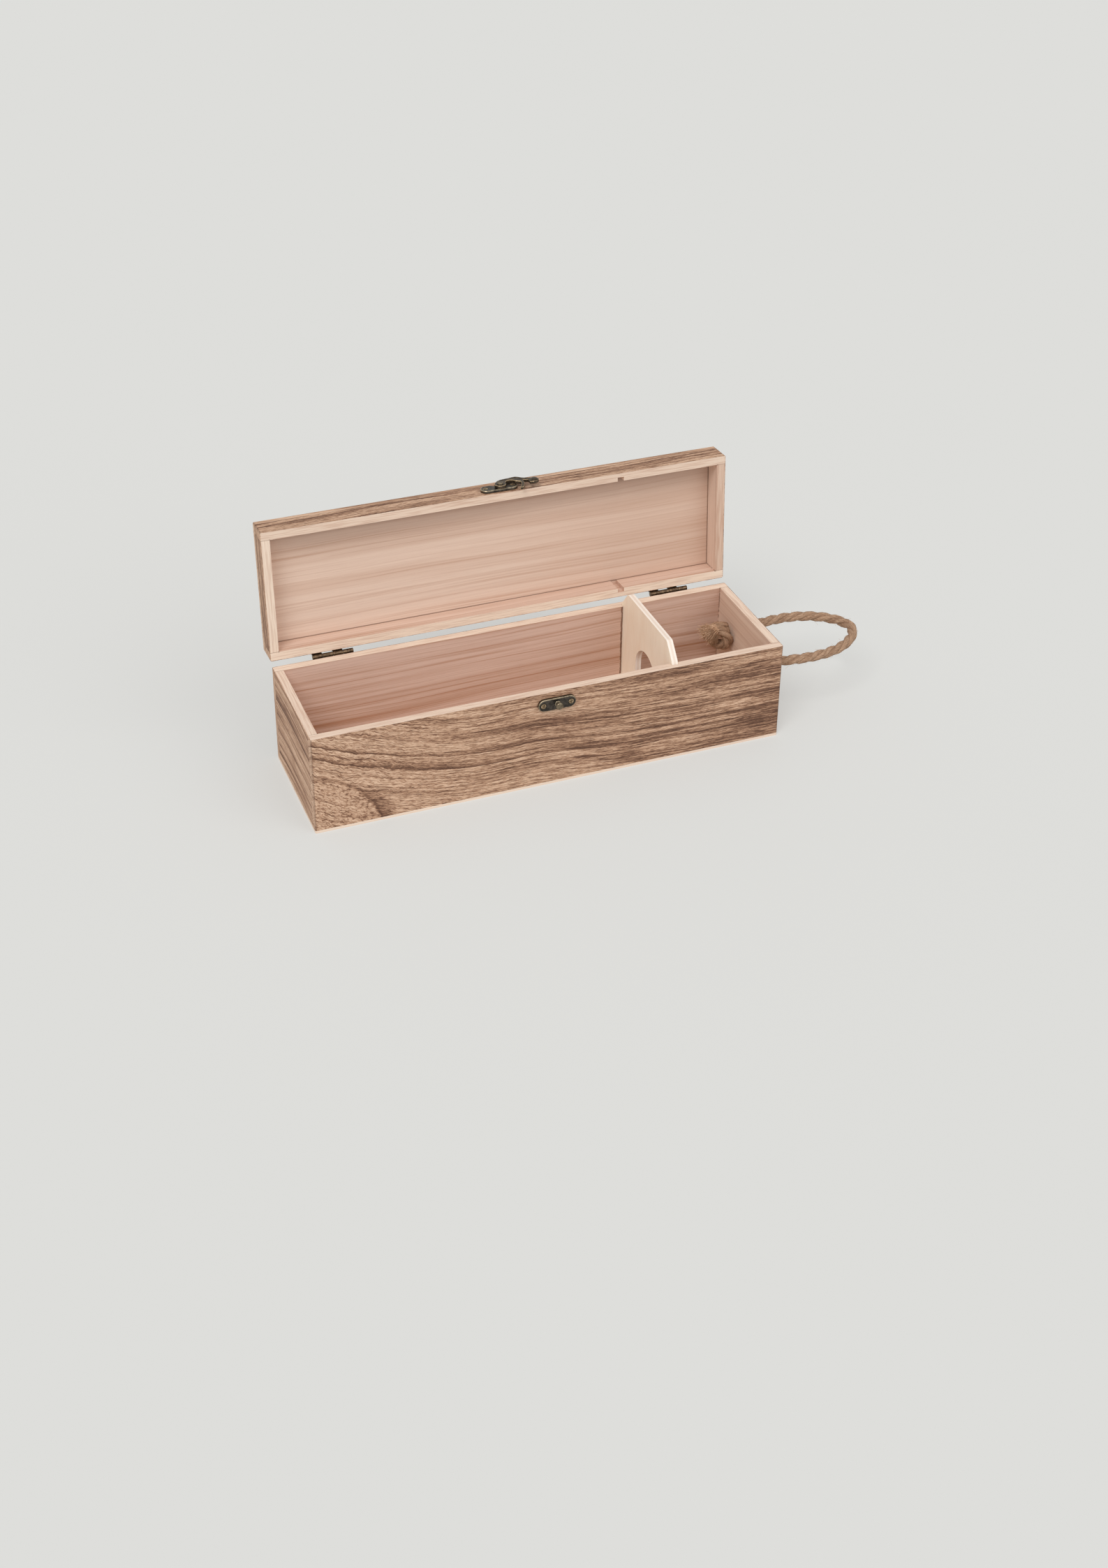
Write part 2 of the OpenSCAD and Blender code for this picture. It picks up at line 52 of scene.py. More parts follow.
# ---- sizes of the box, in millimetres, as its boards and metalwork are made ----
RIGHT = 175.0
FRONT = -49.5
BODY_TOP = 76.0
LID_RIM = 76.2
LID_TOP = 96.2
WALL = 6.5
INNER = 43.0
LID_BOARD = 5.0
DIVIDER_X = 91.75
HINGE_Y, HINGE_Z = 52.3, 76.1
HINGE_X = 130.0
LID_ANGLE = 94.0
LATCH_X = 0.4
PLATE_THICK = 2.4
SCREWS_APART = 20.5
PLATE_SCREWS = (LATCH_X - SCREWS_APART / 2, LATCH_X + SCREWS_APART / 2)
CATCH_Y = -8.6
CATCH_SIZE = (28.0, 9.5)
STUD_X = 0.7
HOOK_PLATE_SIZE = (27.5, 9.2)
HOOK_PLATE_Y = 5.9
PIVOT = (1.2, 5.0)
HOOK_BACK, HOOK_THICK = 2.6, 2.2
HOOK_SWING = 78.0
STUD_NECK, STUD_HEAD, STUD_HEAD_BACK, STUD_HEAD_THICK = 1.25, 2.7, 5.0, 1.6
RIVET_HEAD, RIVET_BACK, RIVET_THICK = 2.3, 4.9, 1.0
SCREW_HEAD, SCREW_LONG = 1.9, 6.5
LEAF_SCREW_X, LEAF_SCREW_Z, LEAF_WOOD_Y, LEAF_THICK = 9.0, 6.35, -2.8, 0.9
ROPE_R = 4.0
HOLE_Y = 26.0
ROPE_Z = 48.0

# ---- places: the front face (x right, y up from the seam, z out), the open lid, the rivet ----
SCALE = Matrix.Diagonal((MM, MM, MM, 1))
ON_FRONT = Matrix(((1, 0, 0, 0), (0, 0, -1, FRONT), (0, 1, 0, BODY_TOP), (0, 0, 0, 1)))
AT_HINGE = Matrix.Translation((0, HINGE_Y, HINGE_Z))
ON_LID = AT_HINGE @ Matrix.Rotation(math.radians(-LID_ANGLE), 4, "X") @ AT_HINGE.inverted()
ON_BACK = Matrix(((1, 0, 0, 0), (0, 0, 1, HINGE_Y + LEAF_WOOD_Y), (0, -1, 0, HINGE_Z),
                  (0, 0, 0, 1)))
ON_HOOK_PLATE = ON_LID @ ON_FRONT
AT_RIVET = ON_HOOK_PLATE @ Matrix.Translation((*PIVOT, 0))
ON_RIVET = AT_RIVET @ Matrix.Rotation(math.radians(HOOK_SWING), 4, "Z")


def srgb(red, green, blue):
    """A colour as seen on a screen, 0 to 255, as the linear colour that sockets take."""
    parts = [v / 255 for v in (red, green, blue)]
    return (*(v / 12.92 if v <= 0.04045 else ((v + 0.055) / 1.055) ** 2.4 for v in parts), 1)


def make_object(name, data):
    """A piece, lamp or camera in the scene, at the origin and unscaled."""
    made = bpy.data.objects.new(name, data)
    bpy.context.scene.collection.objects.link(made)
    return made


# ---- the camera ----
FRAME_TALL, CENTRE_ROW, FOCAL = 2245, 900, 3022.826
SENSOR = 36


def make_camera():
    """The view: a long lens whose height, centre and focal length are counted in frame rows."""
    data = bpy.data.cameras.new("camera")
    data.sensor_width = SENSOR
    data.lens = FOCAL / FRAME_TALL * SENSOR
    data.shift_y = -(FRAME_TALL / 2 - CENTRE_ROW) / FRAME_TALL
    data.clip_end = 50
    camera = make_object("camera", data)
    across = Vector((0.9316370296, -0.3632542680, 0.0099389065))
    down = Vector((-0.1769922946, -0.4774790879, -0.8606320051))
    ahead = Vector((0.3173738691, 0.8000375349, -0.5091304056))
    turn = Matrix((across, -down, -ahead)).transposed().to_4x4()
    camera.matrix_world = Matrix.Translation(Vector((-455.56, -1193.03, 854.68)) * MM) @ turn
    bpy.context.scene.camera = camera


make_camera()


# ---- node trees written as sums ----
class Socket:
    """A node's output, which takes part in sums like a number."""

    def __init__(self, tree, output):
        self.tree, self.output = tree, output

    def math(self, operation, *others):
        """One operation on this value and others."""
        return self.tree.node("ShaderNodeMath", {"operation": operation},
                              dict(enumerate((self, *others))))

    __add__ = __radd__ = partialmethod(math, "ADD")
    __sub__ = partialmethod(math, "SUBTRACT")
    __mul__ = __rmul__ = partialmethod(math, "MULTIPLY")
    __truediv__ = partialmethod(math, "DIVIDE")
    __pow__ = partialmethod(math, "POWER")
    size = partialmethod(math, "ABSOLUTE")
    larger = partialmethod(math, "MAXIMUM")
    smaller = partialmethod(math, "MINIMUM")

    def __rsub__(self, other):
        return (self * -1) + other

    def ease(self, low, high):
        """0 below low, 1 above high, smooth between. Low above high turns it round."""
        if low > high:
            return 1 - self.ease(high, low)
        return self.tree.node("ShaderNodeMapRange", {"interpolation_type": "SMOOTHSTEP"},
                              {"Value": self, "From Min": low, "From Max": high})


class Tree:
    """A node tree that is filled one node at a time."""

    def __init__(self, nodes):
        self.nodes = nodes

    def node(self, kind, settings=None, inputs=None, output=0):
        """Adds a node and gives one of its outputs. A list of sockets goes into one input."""
        made = self.nodes.nodes.new(kind)
        for key, value in (settings or {}).items():
            if key == "stops":
                self.set_stops(made.color_ramp, value)
            elif key == "curve":
                self.set_curve(made.mapping, value)
            else:
                setattr(made, key, value)
        for key, value in (inputs or {}).items():
            if isinstance(value, (Socket, list)):
                for one in value if isinstance(value, list) else [value]:
                    self.nodes.links.new(one.output, made.inputs[key])
            else:
                made.inputs[key].default_value = value
        return Socket(self, made.outputs[output] if made.outputs else None)

    def split(self, vector):
        """The three parts of a vector."""
        parts = self.node("ShaderNodeSeparateXYZ", {}, {0: vector}).output.node
        return [Socket(self, part) for part in parts.outputs]

    def vector(self, x=0.0, y=0.0, z=0.0):
        return self.node("ShaderNodeCombineXYZ", {}, {0: x, 1: y, 2: z})

    @staticmethod
    def set_stops(ramp, stops):
        """Fills a colour ramp with (place, colour) stops."""
        while len(ramp.elements) > 1:
            ramp.elements.remove(ramp.elements[-1])
        ramp.elements[0].position, ramp.elements[0].color = stops[0]
        for place, colour in stops[1:]:
            ramp.elements.new(place).color = colour

    @staticmethod
    def set_curve(mapping, points):
        """Leads a curve through points between 0 and 1."""
        line = mapping.curves[0]
        mapping.use_clip = False
        line.points[0].location = points[0]
        line.points[1].location = points[-1]
        for place in points[1:-1]:
            line.points.new(*place)
        mapping.update()


class Finish(Tree):
    """A procedural material."""

    def __init__(self, name):
        self.material = bpy.data.materials.new(name)
        self.material.use_nodes = True
        super().__init__(self.material.node_tree)
        self.nodes.nodes.clear()

    def place(self, turned=False):
        """x, y and z in millimetres; on the lid's pieces as they are with the lid shut."""
        at = self.node("ShaderNodeTexCoord", output="Object")
        if turned:
            at = self.node("ShaderNodeMapping", {}, {
                "Vector": at, "Location": ON_LID.inverted().to_translation() * MM,
                "Rotation": (math.radians(LID_ANGLE), 0, 0)})
        return [part * (1 / MM) for part in self.split(at)]

    def mark(self, name):
        """A number kept for each point on the mesh by store."""
        return self.node("ShaderNodeAttribute", {"attribute_name": name}, output="Fac")

    def noise(self, x, y, z=0.0, detail=2.0, rough=0.5):
        """Smooth noise, about 0.5 in the middle, one bump to a unit of x, y and z."""
        return self.node("ShaderNodeTexNoise", {}, {
            "Vector": self.vector(x, y, z), "Scale": 1.0, "Detail": detail, "Roughness": rough})

    def curve(self, value, points, wide, tall):
        """value led through a smooth line of (value, result) points, from 0 to wide and tall."""
        line = [(a / wide, b / tall) for a, b in points]
        return self.node("ShaderNodeFloatCurve", {"curve": line}, {"Value": value / wide}) * tall

    def ramp(self, value, *stops):
        """value looked up between (place, colour) stops."""
        return self.node("ShaderNodeValToRGB", {"stops": stops}, {0: value})

    def mix(self, share, first, second):
        """The first colour at share 0, the second at share 1."""
        return self.node("ShaderNodeMix", {"data_type": "RGBA"},
                         {0: share, 6: first, 7: second}, output=2)

    def surface(self, colour, rough, relief=None, relief_depth=0.2, metal=0.0, **sockets):
        """Ends the material. relief is a height from 0 to 1, relief_depth its millimetres."""
        inputs = {"Base Color": colour, "Roughness": rough, "Metallic": metal, **sockets}
        if relief is not None:
            inputs["Normal"] = self.node("ShaderNodeBump", {}, {
                "Height": relief, "Strength": 1.0, "Distance": relief_depth * MM})
        shader = self.node("ShaderNodeBsdfPrincipled", {}, inputs)
        self.node("ShaderNodeOutputMaterial", {}, {"Surface": shader})
        return self.material


# ---- wood ----
LIGHT_TAN = srgb(224, 190, 162)
TAN = srgb(190, 151, 123)
BROWN = srgb(140, 103, 80)
BURNT = srgb(90, 61, 46)
CREAM = srgb(239, 218, 198)
RAW = srgb(228, 202, 184)
RAW_STREAK = srgb(200, 164, 142)
# colour of the painted shadow under the lid's front rail
RAW_PAINTED_SHADOW = srgb(132, 102, 88)
# old glue, and also the colour of the painted shade in the lid's inside corners and of the painted
# shadow at the divider's grooves
GLUE_AND_SHADE = srgb(112, 78, 58)
WOOD_SHINE = {"Specular IOR Level": 0.3}
SKIN = 0.32  # how deep the burnt wood goes
OUTSIDE = {"x": RIGHT, "y": -FRONT, "z": LID_TOP}


def raw_wood(finish, along, across, deep, warmth=0.5):
    """Colour of unburnt wood: soft straight streaks and fine pores."""
    drift = finish.noise(along * 0.005, across * 0.02, deep * 0.02, 1.0) * 8
    broad = finish.noise(along * 0.0025, across * 0.11 + drift * 0.1, deep * 0.05 + 3.1)
    streak = finish.noise(along * 0.004, across * 0.62 + drift * 0.5, deep * 0.2)
    fine = finish.noise(along * 0.02, across * 2.0 + drift, deep * 0.5)
    pores = finish.noise(along * 0.10, across * 5.0, deep * 2.0, 1.0)
    share = (broad.ease(0.38, 0.66) * 0.42 + streak.ease(0.5, 0.68) * 0.42
             + fine.ease(0.45, 0.7) * 0.22 + pores.ease(0.55, 0.78) * 0.2)
    pale = tuple(a + (b - a) * warmth for a, b in zip(CREAM, RAW))
    deepest = tuple(a + (b - a) * warmth for a, b in zip(RAW, RAW_STREAK))
    return finish.mix(share, pale, deepest), fine


def ring_stops(lines, low, high):
    """Ramp stops for growth rings: each line is (place, darkness, fade) in millimetres. A ring
    is dark and sharp at its place and fades away above it."""
    stops = [(0.0, (0, 0, 0, 1))]
    for place, dark, fade in lines:
        for at, value in ((place - 0.55, 0.0), (place, dark), (place + 0.7, dark * 0.62),
                          (place + fade, 0.0)):
            share = (at - low) / (high - low)
            if share > stops[-1][0]:
                stops.append((share, (value, value, value, 1)))
    return stops


def knot_marks(finish, dark, u, v, wide, tall, seed, wander, ripple, wrinkle):
    """Adds the quarter arch round a knot at the board's lower left corner, wide by tall."""
    reach = ((u / wide).larger(0.0) ** 1.8) + ((v / tall).larger(0.0) ** 1.8)
    span = reach + wander * 0.2 + ripple * 0.16 + wrinkle * 0.08
    inside = span.ease(1.04, 0.94)
    foot = v.ease(36, 14)
    halo = span.ease(0.95, 1.03) * span.ease(1.65, 1.03)
    inner = finish.noise(u * 0.55 + v * 0.3, v * 0.5, seed + 3, 1.5).ease(0.5, 0.62)
    return (dark * (1 - inside * 0.3) + inside * inner * 0.34 + halo * (foot * 0.42 + 0.04)
            + span.ease(0.90, 0.99) * span.ease(1.12, 1.0) * 0.26
            + span.ease(0.74, 0.78) * span.ease(0.88, 0.80) * foot * 0.16)


def raw_side(finish, x, y, z, u, v, deep, share, warmth, tone):
    """Colour of a torched board where it is raw: rims, darker towards the lid's right end, a
    painted shadow under the lid's front rail, painted shade in the lid's inside corners, old glue
    along the wall joints and a painted shadow at the divider's grooves. share is the place along
    the board, 0 to 1."""
    colour, fine = raw_wood(finish, u, v, deep, warmth)
    sawn = finish.noise(u * 0.05, v * 0.6, deep * 1.4).ease(0.4, 0.7)
    rim = (z - (BODY_TOP + LID_RIM) / 2).size().ease(0.35, 0.2)
    colour = finish.mix(rim, colour, finish.mix(sawn * 0.5 + tone, CREAM, RAW_STREAK))

    in_lid = z.ease(LID_TOP - LID_BOARD - 0.4, LID_TOP - LID_BOARD - 0.2)
    # painted shadow of the lid's front rail on the inside of the lid: painted_rail_shadow is its
    # broad fade, shade its dark band near the rail, fading towards the lid's right end
    painted_rail_shadow = (y + INNER).ease(26, -2) * in_lid
    shade = (y + INNER).ease(10, 2) * share.ease(1.1, 0.7) * in_lid
    # darker towards the lid's right end
    colour = finish.mix(share.ease(0.4, 0.95) * in_lid * 0.38, colour, RAW_STREAK)
    colour = finish.mix(painted_rail_shadow * 0.25 + shade * 0.5, colour, RAW_PAINTED_SHADOW)

    glue = finish.noise(x * 0.3, y * 0.3, z * 0.35).ease(0.35, 0.6)
    beside = ((y.size() - INNER) / 0.5).size()
    beyond = ((x.size() - (RIGHT - WALL)) / 0.5).size()
    # painted shade in the inside corners where the lid's rails meet its top board
    lid_corner_shade = beside.smaller(beyond).ease(2.0, 0.3) * in_lid * 0.75
    wall_joint = beside.larger(beyond).ease(1.6, 0.4) * glue * 0.6
    # painted shadow along the edge of the divider's grooves in the back wall
    groove_shadow = ((x - (DIVIDER_X - 3.0) + (glue - 0.5) * 0.5).size().ease(0.8, 0.45)
                   * y.ease(0, 5) * z.ease(BODY_TOP - 0.2, BODY_TOP - 0.8) * 0.8)
    return finish.mix(lid_corner_shade.larger(wall_joint).larger(groove_shadow), colour, GLUE_AND_SHADE), fine


def torched_wood(name, turned, grain, across, rise, lines, seed, burn=(0.3, 0.3), knot=None,
                 warmth=0.5, fibre=1.0, figured=0.0, tone=0.0, combing=1.0):
    """A board burnt and brushed on its outer faces and raw elsewhere. rise is the line that one
    growth ring follows along the board, and lines are the rings' distances across from it."""
    finish = Finish(name)
    x, y, z = finish.place(turned)
    place = {"x": x, "y": y, "z": z}
    u = place[grain] + OUTSIDE[grain]
    v = place[across]
    depth = ({"x", "y", "z"} - {grain, across}).pop()
    deep = place[depth]
    under = OUTSIDE[depth] - deep.size()
    long = 2 * OUTSIDE[grain]

    # the growth rings bend with the rise, wander, and ripple where the board is figured
    wander = finish.noise(u * 0.016 + seed, v * 0.035, deep * 0.01, 1.0) - 0.5
    ripple = finish.noise(u * 0.10, v * 0.13 + seed, 0.0, 1.0) - 0.5
    wrinkle = finish.noise(u * 0.33, v * 0.30 + seed, 0.0, 1.0) - 0.5
    figure = (u / long).ease(0.42, 0.05) * figured
    s = (v - finish.curve(u, rise, long, 100) + under * 0.8 + wander * 4
         + ripple * (figure * 3.2 + 0.6) + wrinkle * (figure * 1.6 + 0.1))
    low, high = lines[0][0] - 40, lines[-1][0] + 40
    strength = finish.noise(u * 0.013 + seed, s * 0.06, 0.5, 1.0).ease(0.25, 0.6) * 0.7 + 0.45
    ring = finish.ramp((s - low) / (high - low), *ring_stops(lines, low, high)) * strength

    # brushed fibres, from broad streaks to short ticks
    streak = finish.noise(u * 0.009, s * 0.62, seed + 2)
    thin = finish.noise(u * 0.014, s * 1.25, seed + 4, 1.0)
    dash = finish.noise(u * 0.24, s * 1.9, seed, 1.5)
    tick = finish.noise(u * 0.42, s * 2.6, seed + 5, 1.0)
    long_dash = finish.noise(u * 0.07, s * 1.3, seed + 7)
    grainy = dash.ease(0.51, 0.60) * 0.42 + tick.ease(0.53, 0.62) * 0.30
    combed = long_dash.ease(0.51, 0.61) * 0.36 + thin.ease(0.51, 0.62) * 0.26

    # the torch, from burn[0] at the board's start to burn[1] at its end
    scorch = finish.noise(u * 0.012, s * 0.10, seed + 9, 3.0, 0.55)
    spread = finish.node("ShaderNodeClamp", {}, {0: u / long})
    burnt = (scorch.ease(0.40, 0.66) * 0.85 + 0.15) * (spread * (burn[1] - burn[0]) + burn[0])
    dark = (ring * 1.15 + streak.ease(0.48, 0.64) * 0.28 + burnt
            + grainy * (figure * 0.45 + 0.6) * fibre
            + combed * (1.0 - figure * 0.55) * combing)
    lid_edge = (z.ease(LID_TOP - 0.4, LID_TOP - 1.0)
                * z.ease(LID_TOP - LID_BOARD - 0.3, LID_TOP - LID_BOARD + 0.1))
    dark = dark * (1 - lid_edge * 0.4)
    if grain == "x":
        sawn_end = x.size().ease(RIGHT - 0.5, RIGHT - 0.2)
        dark = dark * (1 - sawn_end * 0.45)
    if knot:
        dark = knot_marks(finish, dark, u, v, *knot, seed, wander, ripple, wrinkle)
    burnt_colour = finish.ramp(dark * 0.8, (0.0, LIGHT_TAN), (0.28, TAN), (0.56, BROWN),
                               (0.9, BURNT))
    raw_colour, fine = raw_side(finish, x, y, z, u, v, deep, u / long, warmth, tone)

    # burnt near the outside only, with a ragged border
    ragged = (finish.noise(u * 0.4, v * 0.9, deep * 0.9) - 0.5) * 0.5
    skin = (x.size() - (RIGHT - SKIN)).larger(y.size() + (FRONT + SKIN)).larger(
        z - (LID_TOP - SKIN))
    outer = (skin + ragged).ease(-0.1, 0.1)
    seam = ((y.size() - INNER).size().ease(0.22, 0.06) * (x.size() - (RIGHT - WALL)).ease(0, 0.3)
            * z.ease(LID_TOP - LID_BOARD + 0.2, LID_TOP - LID_BOARD - 0.2))
    lid_seam = (z - (LID_TOP - LID_BOARD)).size().ease(0.4, 0.12) * outer
    corner = ((x.size() - RIGHT).larger(-3.0) + (y.size() + FRONT).larger(-3.0)).ease(-1.3, -0.5)
    colour = finish.mix(outer, raw_colour, burnt_colour)
    colour = finish.mix((seam * 0.6).larger(corner * 0.45).larger(lid_seam * 0.7), colour, BURNT)
    furrows = dash.ease(0.64, 0.45) * 0.5 + long_dash.ease(0.66, 0.45) * 0.5
    relief = furrows * outer + fine * 0.15
    return finish.surface(colour, 0.82 - outer * 0.12, relief, 0.14, **WOOD_SHINE)


def ring_lines(start, end, seed):
    """Seven unevenly spaced growth rings across a board."""
    rng = np.random.default_rng(seed)
    gap = (end - start) / 6
    return [(start + gap * i + float(rng.uniform(-3, 3)), float(rng.uniform(0.25, 0.6)),
             float(rng.uniform(3, 8))) for i in range(7)]


FRONT_RISE = [(0, 62), (23, 51), (45, 44), (68, 37), (109, 29), (164, 27), (227, 21), (350, 17)]
FRONT_LINES = [(0, 0.6, 3.2), (4.5, 0.25, 1.8), (10.5, 0.55, 3.5), (24, 0.45, 4), (39, 0.3, 3),
               (50, 0.35, 3), (60, 0.3, 4)]
GENTLE = [(0, 30), (110, 34), (230, 31), (350, 36)]
SHORT = [(0, 30), (50, 32), (99, 29)]

BODY_LONG = dict(turned=False, grain="x", across="z", rise=GENTLE)
BODY_END = dict(turned=False, grain="y", across="z", rise=SHORT)
LID_LONG = dict(turned=True, grain="x", across="z", rise=GENTLE)
LID_END = dict(turned=True, grain="y", across="z", rise=SHORT)

BOARDS = {
    "front_panel": torched_wood(
        "torched front board", **{**BODY_LONG, "rise": FRONT_RISE}, lines=FRONT_LINES, seed=1.7,
        burn=(0.0, 0.58), knot=(46, 42.5), warmth=0.9, figured=1.0, tone=0.22),
    # the back board's high warmth darkens its raw inside face, partly as painted shade
    "back_panel": torched_wood(
        "torched back board", **BODY_LONG, lines=ring_lines(-30, 45, 3), seed=11.3, warmth=1.75,
        tone=0.1),
    "left_end_panel": torched_wood(
        "torched left end board", **BODY_END, seed=21.9, burn=(0.2, 0.2), fibre=0.4, tone=0.22,
        combing=0.55, lines=[(-20, 0.5, 3), (-13, 0.45, 2), (-1, 0.5, 4), (12, 0.55, 3),
                             (24, 0.75, 10), (35, 0.35, 3), (43, 0.4, 3)]),
    "right_end_panel": torched_wood(
        "torched right end board", **BODY_END, lines=ring_lines(-28, 45, 8), seed=31.1,
        warmth=0.7, fibre=0.6, tone=0.15),
    "lid_top_panel": torched_wood(
        "torched lid board", **{**LID_LONG, "across": "y"}, lines=ring_lines(-85, 20, 5),
        seed=41.7, warmth=0.95, fibre=0.5),
    "lid_front_rail": torched_wood(
        "torched lid front rail", **LID_LONG, lines=[(54, 0.4, 3), (60, 0.5, 2.5)], seed=51.3,
        burn=(0.3, 0.25), tone=0.25),
    "lid_back_rail": torched_wood(
        "torched lid back rail", **LID_LONG, seed=61.9, warmth=1.3,
        lines=[(48, 0.3, 3), (55, 0.4, 3), (61, 0.4, 3)]),
    "lid_left_rail": torched_wood(
        "torched lid left rail", **LID_END, lines=[(50, 0.4, 3), (58, 0.4, 3)], seed=71.3),
    "lid_right_rail": torched_wood(
        "torched lid right rail", **LID_END, lines=[(48, 0.4, 3), (56, 0.4, 3)], seed=81.7,
        warmth=0.9, tone=0.6),
}


def raw_board():
    """The bottom, raw all over."""
    finish = Finish("raw bottom board")
    x, y, z = finish.place()
    colour, fine = raw_wood(finish, x, y + z * 2, z, 0.1)
    return finish.surface(colour, 0.8, fine, 0.05, **WOOD_SHINE)


def plywood():
    """Pale veneer faces; the cut edges show the crossing middle ply."""
    half_core, half_board = 0.8, 2.2
    finish = Finish("birch plywood")
    x, y, z = finish.place()
    off = (x - DIVIDER_X).size()
    broad = finish.noise(y * 0.05, z * 0.012, x * 0.2, 3.0)
    fine = finish.noise(y * 1.4, z * 0.07, x * 0.5)
    face = finish.mix(broad.ease(0.35, 0.7) * 0.6 + fine.ease(0.45, 0.7) * 0.3,
                      srgb(255, 243, 224), srgb(245, 226, 202))
    chatter = finish.noise(y * 1.2, z * 1.2, x)
    core = off.ease(half_core + 0.1, half_core - 0.1)
    edge = finish.mix(core * 0.3 + chatter.ease(0.55, 0.8) * 0.25, srgb(246, 234, 222),
                      srgb(208, 178, 150))
    colour = finish.mix(off.ease(half_board - 0.02, half_board + 0.02), edge, face)
    return finish.surface(colour, 0.75, fine * 0.4 + chatter * 0.3, 0.08, **WOOD_SHINE)


# ---- metal ----
def bronze(name, dark, light, bright, worn_from, rough):
    """Antique bronze: mottled dark film, rubbed bright where the piece's wear is high."""
    finish = Finish(name)
    x, y, z = finish.place()
    wear = finish.mark("wear")
    cloud = finish.noise(x * 0.45, y * 0.45, z * 0.45, 3.0)
    grit = finish.noise(x * 3.0, y * 3.0, z * 3.0)
    film = finish.mix(cloud.ease(0.35, 0.65), dark, light)
    rub = (wear + (cloud - 0.5) * 0.4 + (grit - 0.5) * 0.2).ease(worn_from, worn_from + 0.5)
    colour = finish.mix(rub, film, bright)
    return finish.surface(colour, grit * 0.25 + (rough - 0.12) - rub * 0.1, grit, 0.03, 0.85)


DARK_BRONZE = bronze("dark bronze", srgb(70, 60, 50), srgb(93, 81, 68), srgb(210, 182, 142),
                     0.16, 0.38)
PLATE_BRONZE = bronze("plate bronze", srgb(56, 51, 46), srgb(82, 75, 68), srgb(214, 194, 162),
                      0.06, 0.36)
STUD_BRONZE = bronze("rubbed bronze", srgb(98, 86, 70), srgb(128, 114, 94), srgb(232, 214, 178),
                     0.2, 0.34)
HINGE_BRONZE = bronze("hinge bronze", srgb(78, 62, 48), srgb(120, 98, 76), srgb(222, 204, 168),
                      0.45, 0.28)
SCREW_BRASS = bronze("screw brass", srgb(140, 120, 94), srgb(180, 158, 128), srgb(220, 196, 158),
                     0.5, 0.36)


# ---- making pieces ----
def dress(piece, material):
    """Gives a piece its one finish."""
    piece.data.materials.clear()
    piece.data.materials.append(material)


def settle(piece, body, material=None, replaces=()):
    """A finished piece gets its finish, its body, and the plain solids it stands for."""
    if material:
        dress(piece, material)
    if body:
        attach(piece, body)
    if replaces:
        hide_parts(*replaces)


def baked(piece):
    """The piece with its modifiers made part of its mesh."""
    bpy.context.view_layer.update()
    graph = bpy.context.evaluated_depsgraph_get()
    mesh = bpy.data.meshes.new_from_object(piece.evaluated_get(graph))
    piece.modifiers.clear()
    old, piece.data = piece.data, mesh
    bpy.data.meshes.remove(old)
    mesh.name = piece.name
    return piece


def stack(form, rings):
    """Adds the solid through counter-clockwise rings of points, lowest first."""
    rows = [[form.verts.new(point) for point in ring] for ring in rings]
    form.faces.new(rows[0][::-1])
    form.faces.new(rows[-1])
    for one, two in zip(rows, rows[1:]):
        for i in range(len(one)):
            j = (i + 1) % len(one)
            form.faces.new((one[i], one[j], two[j], two[i]))


def prism(form, outline, low, high):
    """Adds the solid between two depths of a counter-clockwise outline."""
    stack(form, [[(x, y, z) for x, y in outline] for z in (low, high)])


def lathe(form, profile, centre=(0, 0)):
    """Adds a turned solid: profile is (radius, depth) from its axis round to its axis again."""
    steps, rings = 48, []
    for radius, depth in profile:
        turns = [2 * math.pi * k / steps for k in range(steps if radius else 1)]
        rings.append([form.verts.new((centre[0] + radius * math.cos(a),
                                      centre[1] + radius * math.sin(a), depth)) for a in turns])
    for one, two in zip(rings, rings[1:]):
        for k in range(steps):
            m = (k + 1) % steps
            corners = [one[k % len(one)], one[m % len(one)], two[m % len(two)], two[k % len(two)]]
            kept = list(dict.fromkeys(corners))
            if len(kept) > 2:
                form.faces.new(kept)


def arc(cx, cy, radius, start, end, steps):
    """Points on a circle's arc between two angles in degrees."""
    return [(cx + radius * math.cos(math.radians(a)), cy + radius * math.sin(math.radians(a)))
            for a in np.linspace(start, end, steps)]


def read(items, key, width, kind=float):
    """One property of all a mesh's vertices or edges, a row for each."""
    values = np.empty(len(items) * width, kind)
    items.foreach_get(key, values)
    return values.reshape(-1, width)


def cast(name, forms, voxel, smooth, place, bend=None):
    """A casting: the forms melt into one skin with soft edges, worn on its ridges."""
    form = bmesh.new()
    for build in forms:
        build(form)
    bmesh.ops.recalc_face_normals(form, faces=form.faces)
    mesh = bpy.data.meshes.new(name)
    form.to_mesh(mesh)
    form.free()
    piece = make_object(name, mesh)
    skin = piece.modifiers.new("skin", "REMESH")
    skin.mode, skin.voxel_size, skin.use_smooth_shade = "VOXEL", voxel, True
    soft = piece.modifiers.new("soft", "SMOOTH")
    soft.factor, soft.iterations = 0.5, smooth
    baked(piece)
    mesh = piece.data
    height = ridge(read(mesh.vertices, "co", 3), read(mesh.vertices, "normal", 3),
                   read(mesh.edges, "vertices", 2, int))
    store(mesh, "wear", height / voxel)
    if bend:
        for vertex in mesh.vertices:
            vertex.co = bend(vertex.co)
    mesh.transform(SCALE @ place)
    return piece


def ridge(points, normals, pairs):
    """How far each point stands out from its neighbours, averaged over a few steps."""
    count = np.zeros(len(points))
    np.add.at(count, pairs.ravel(), 1)

    def average(values):
        total = np.zeros_like(values)
        np.add.at(total, pairs[:, 0], values[pairs[:, 1]])
        np.add.at(total, pairs[:, 1], values[pairs[:, 0]])
        return (total.T / count).T

    out = ((points - average(points)) * normals).sum(1)
    for _ in range(2):
        out = (out + average(out)) / 2
    return out * 6


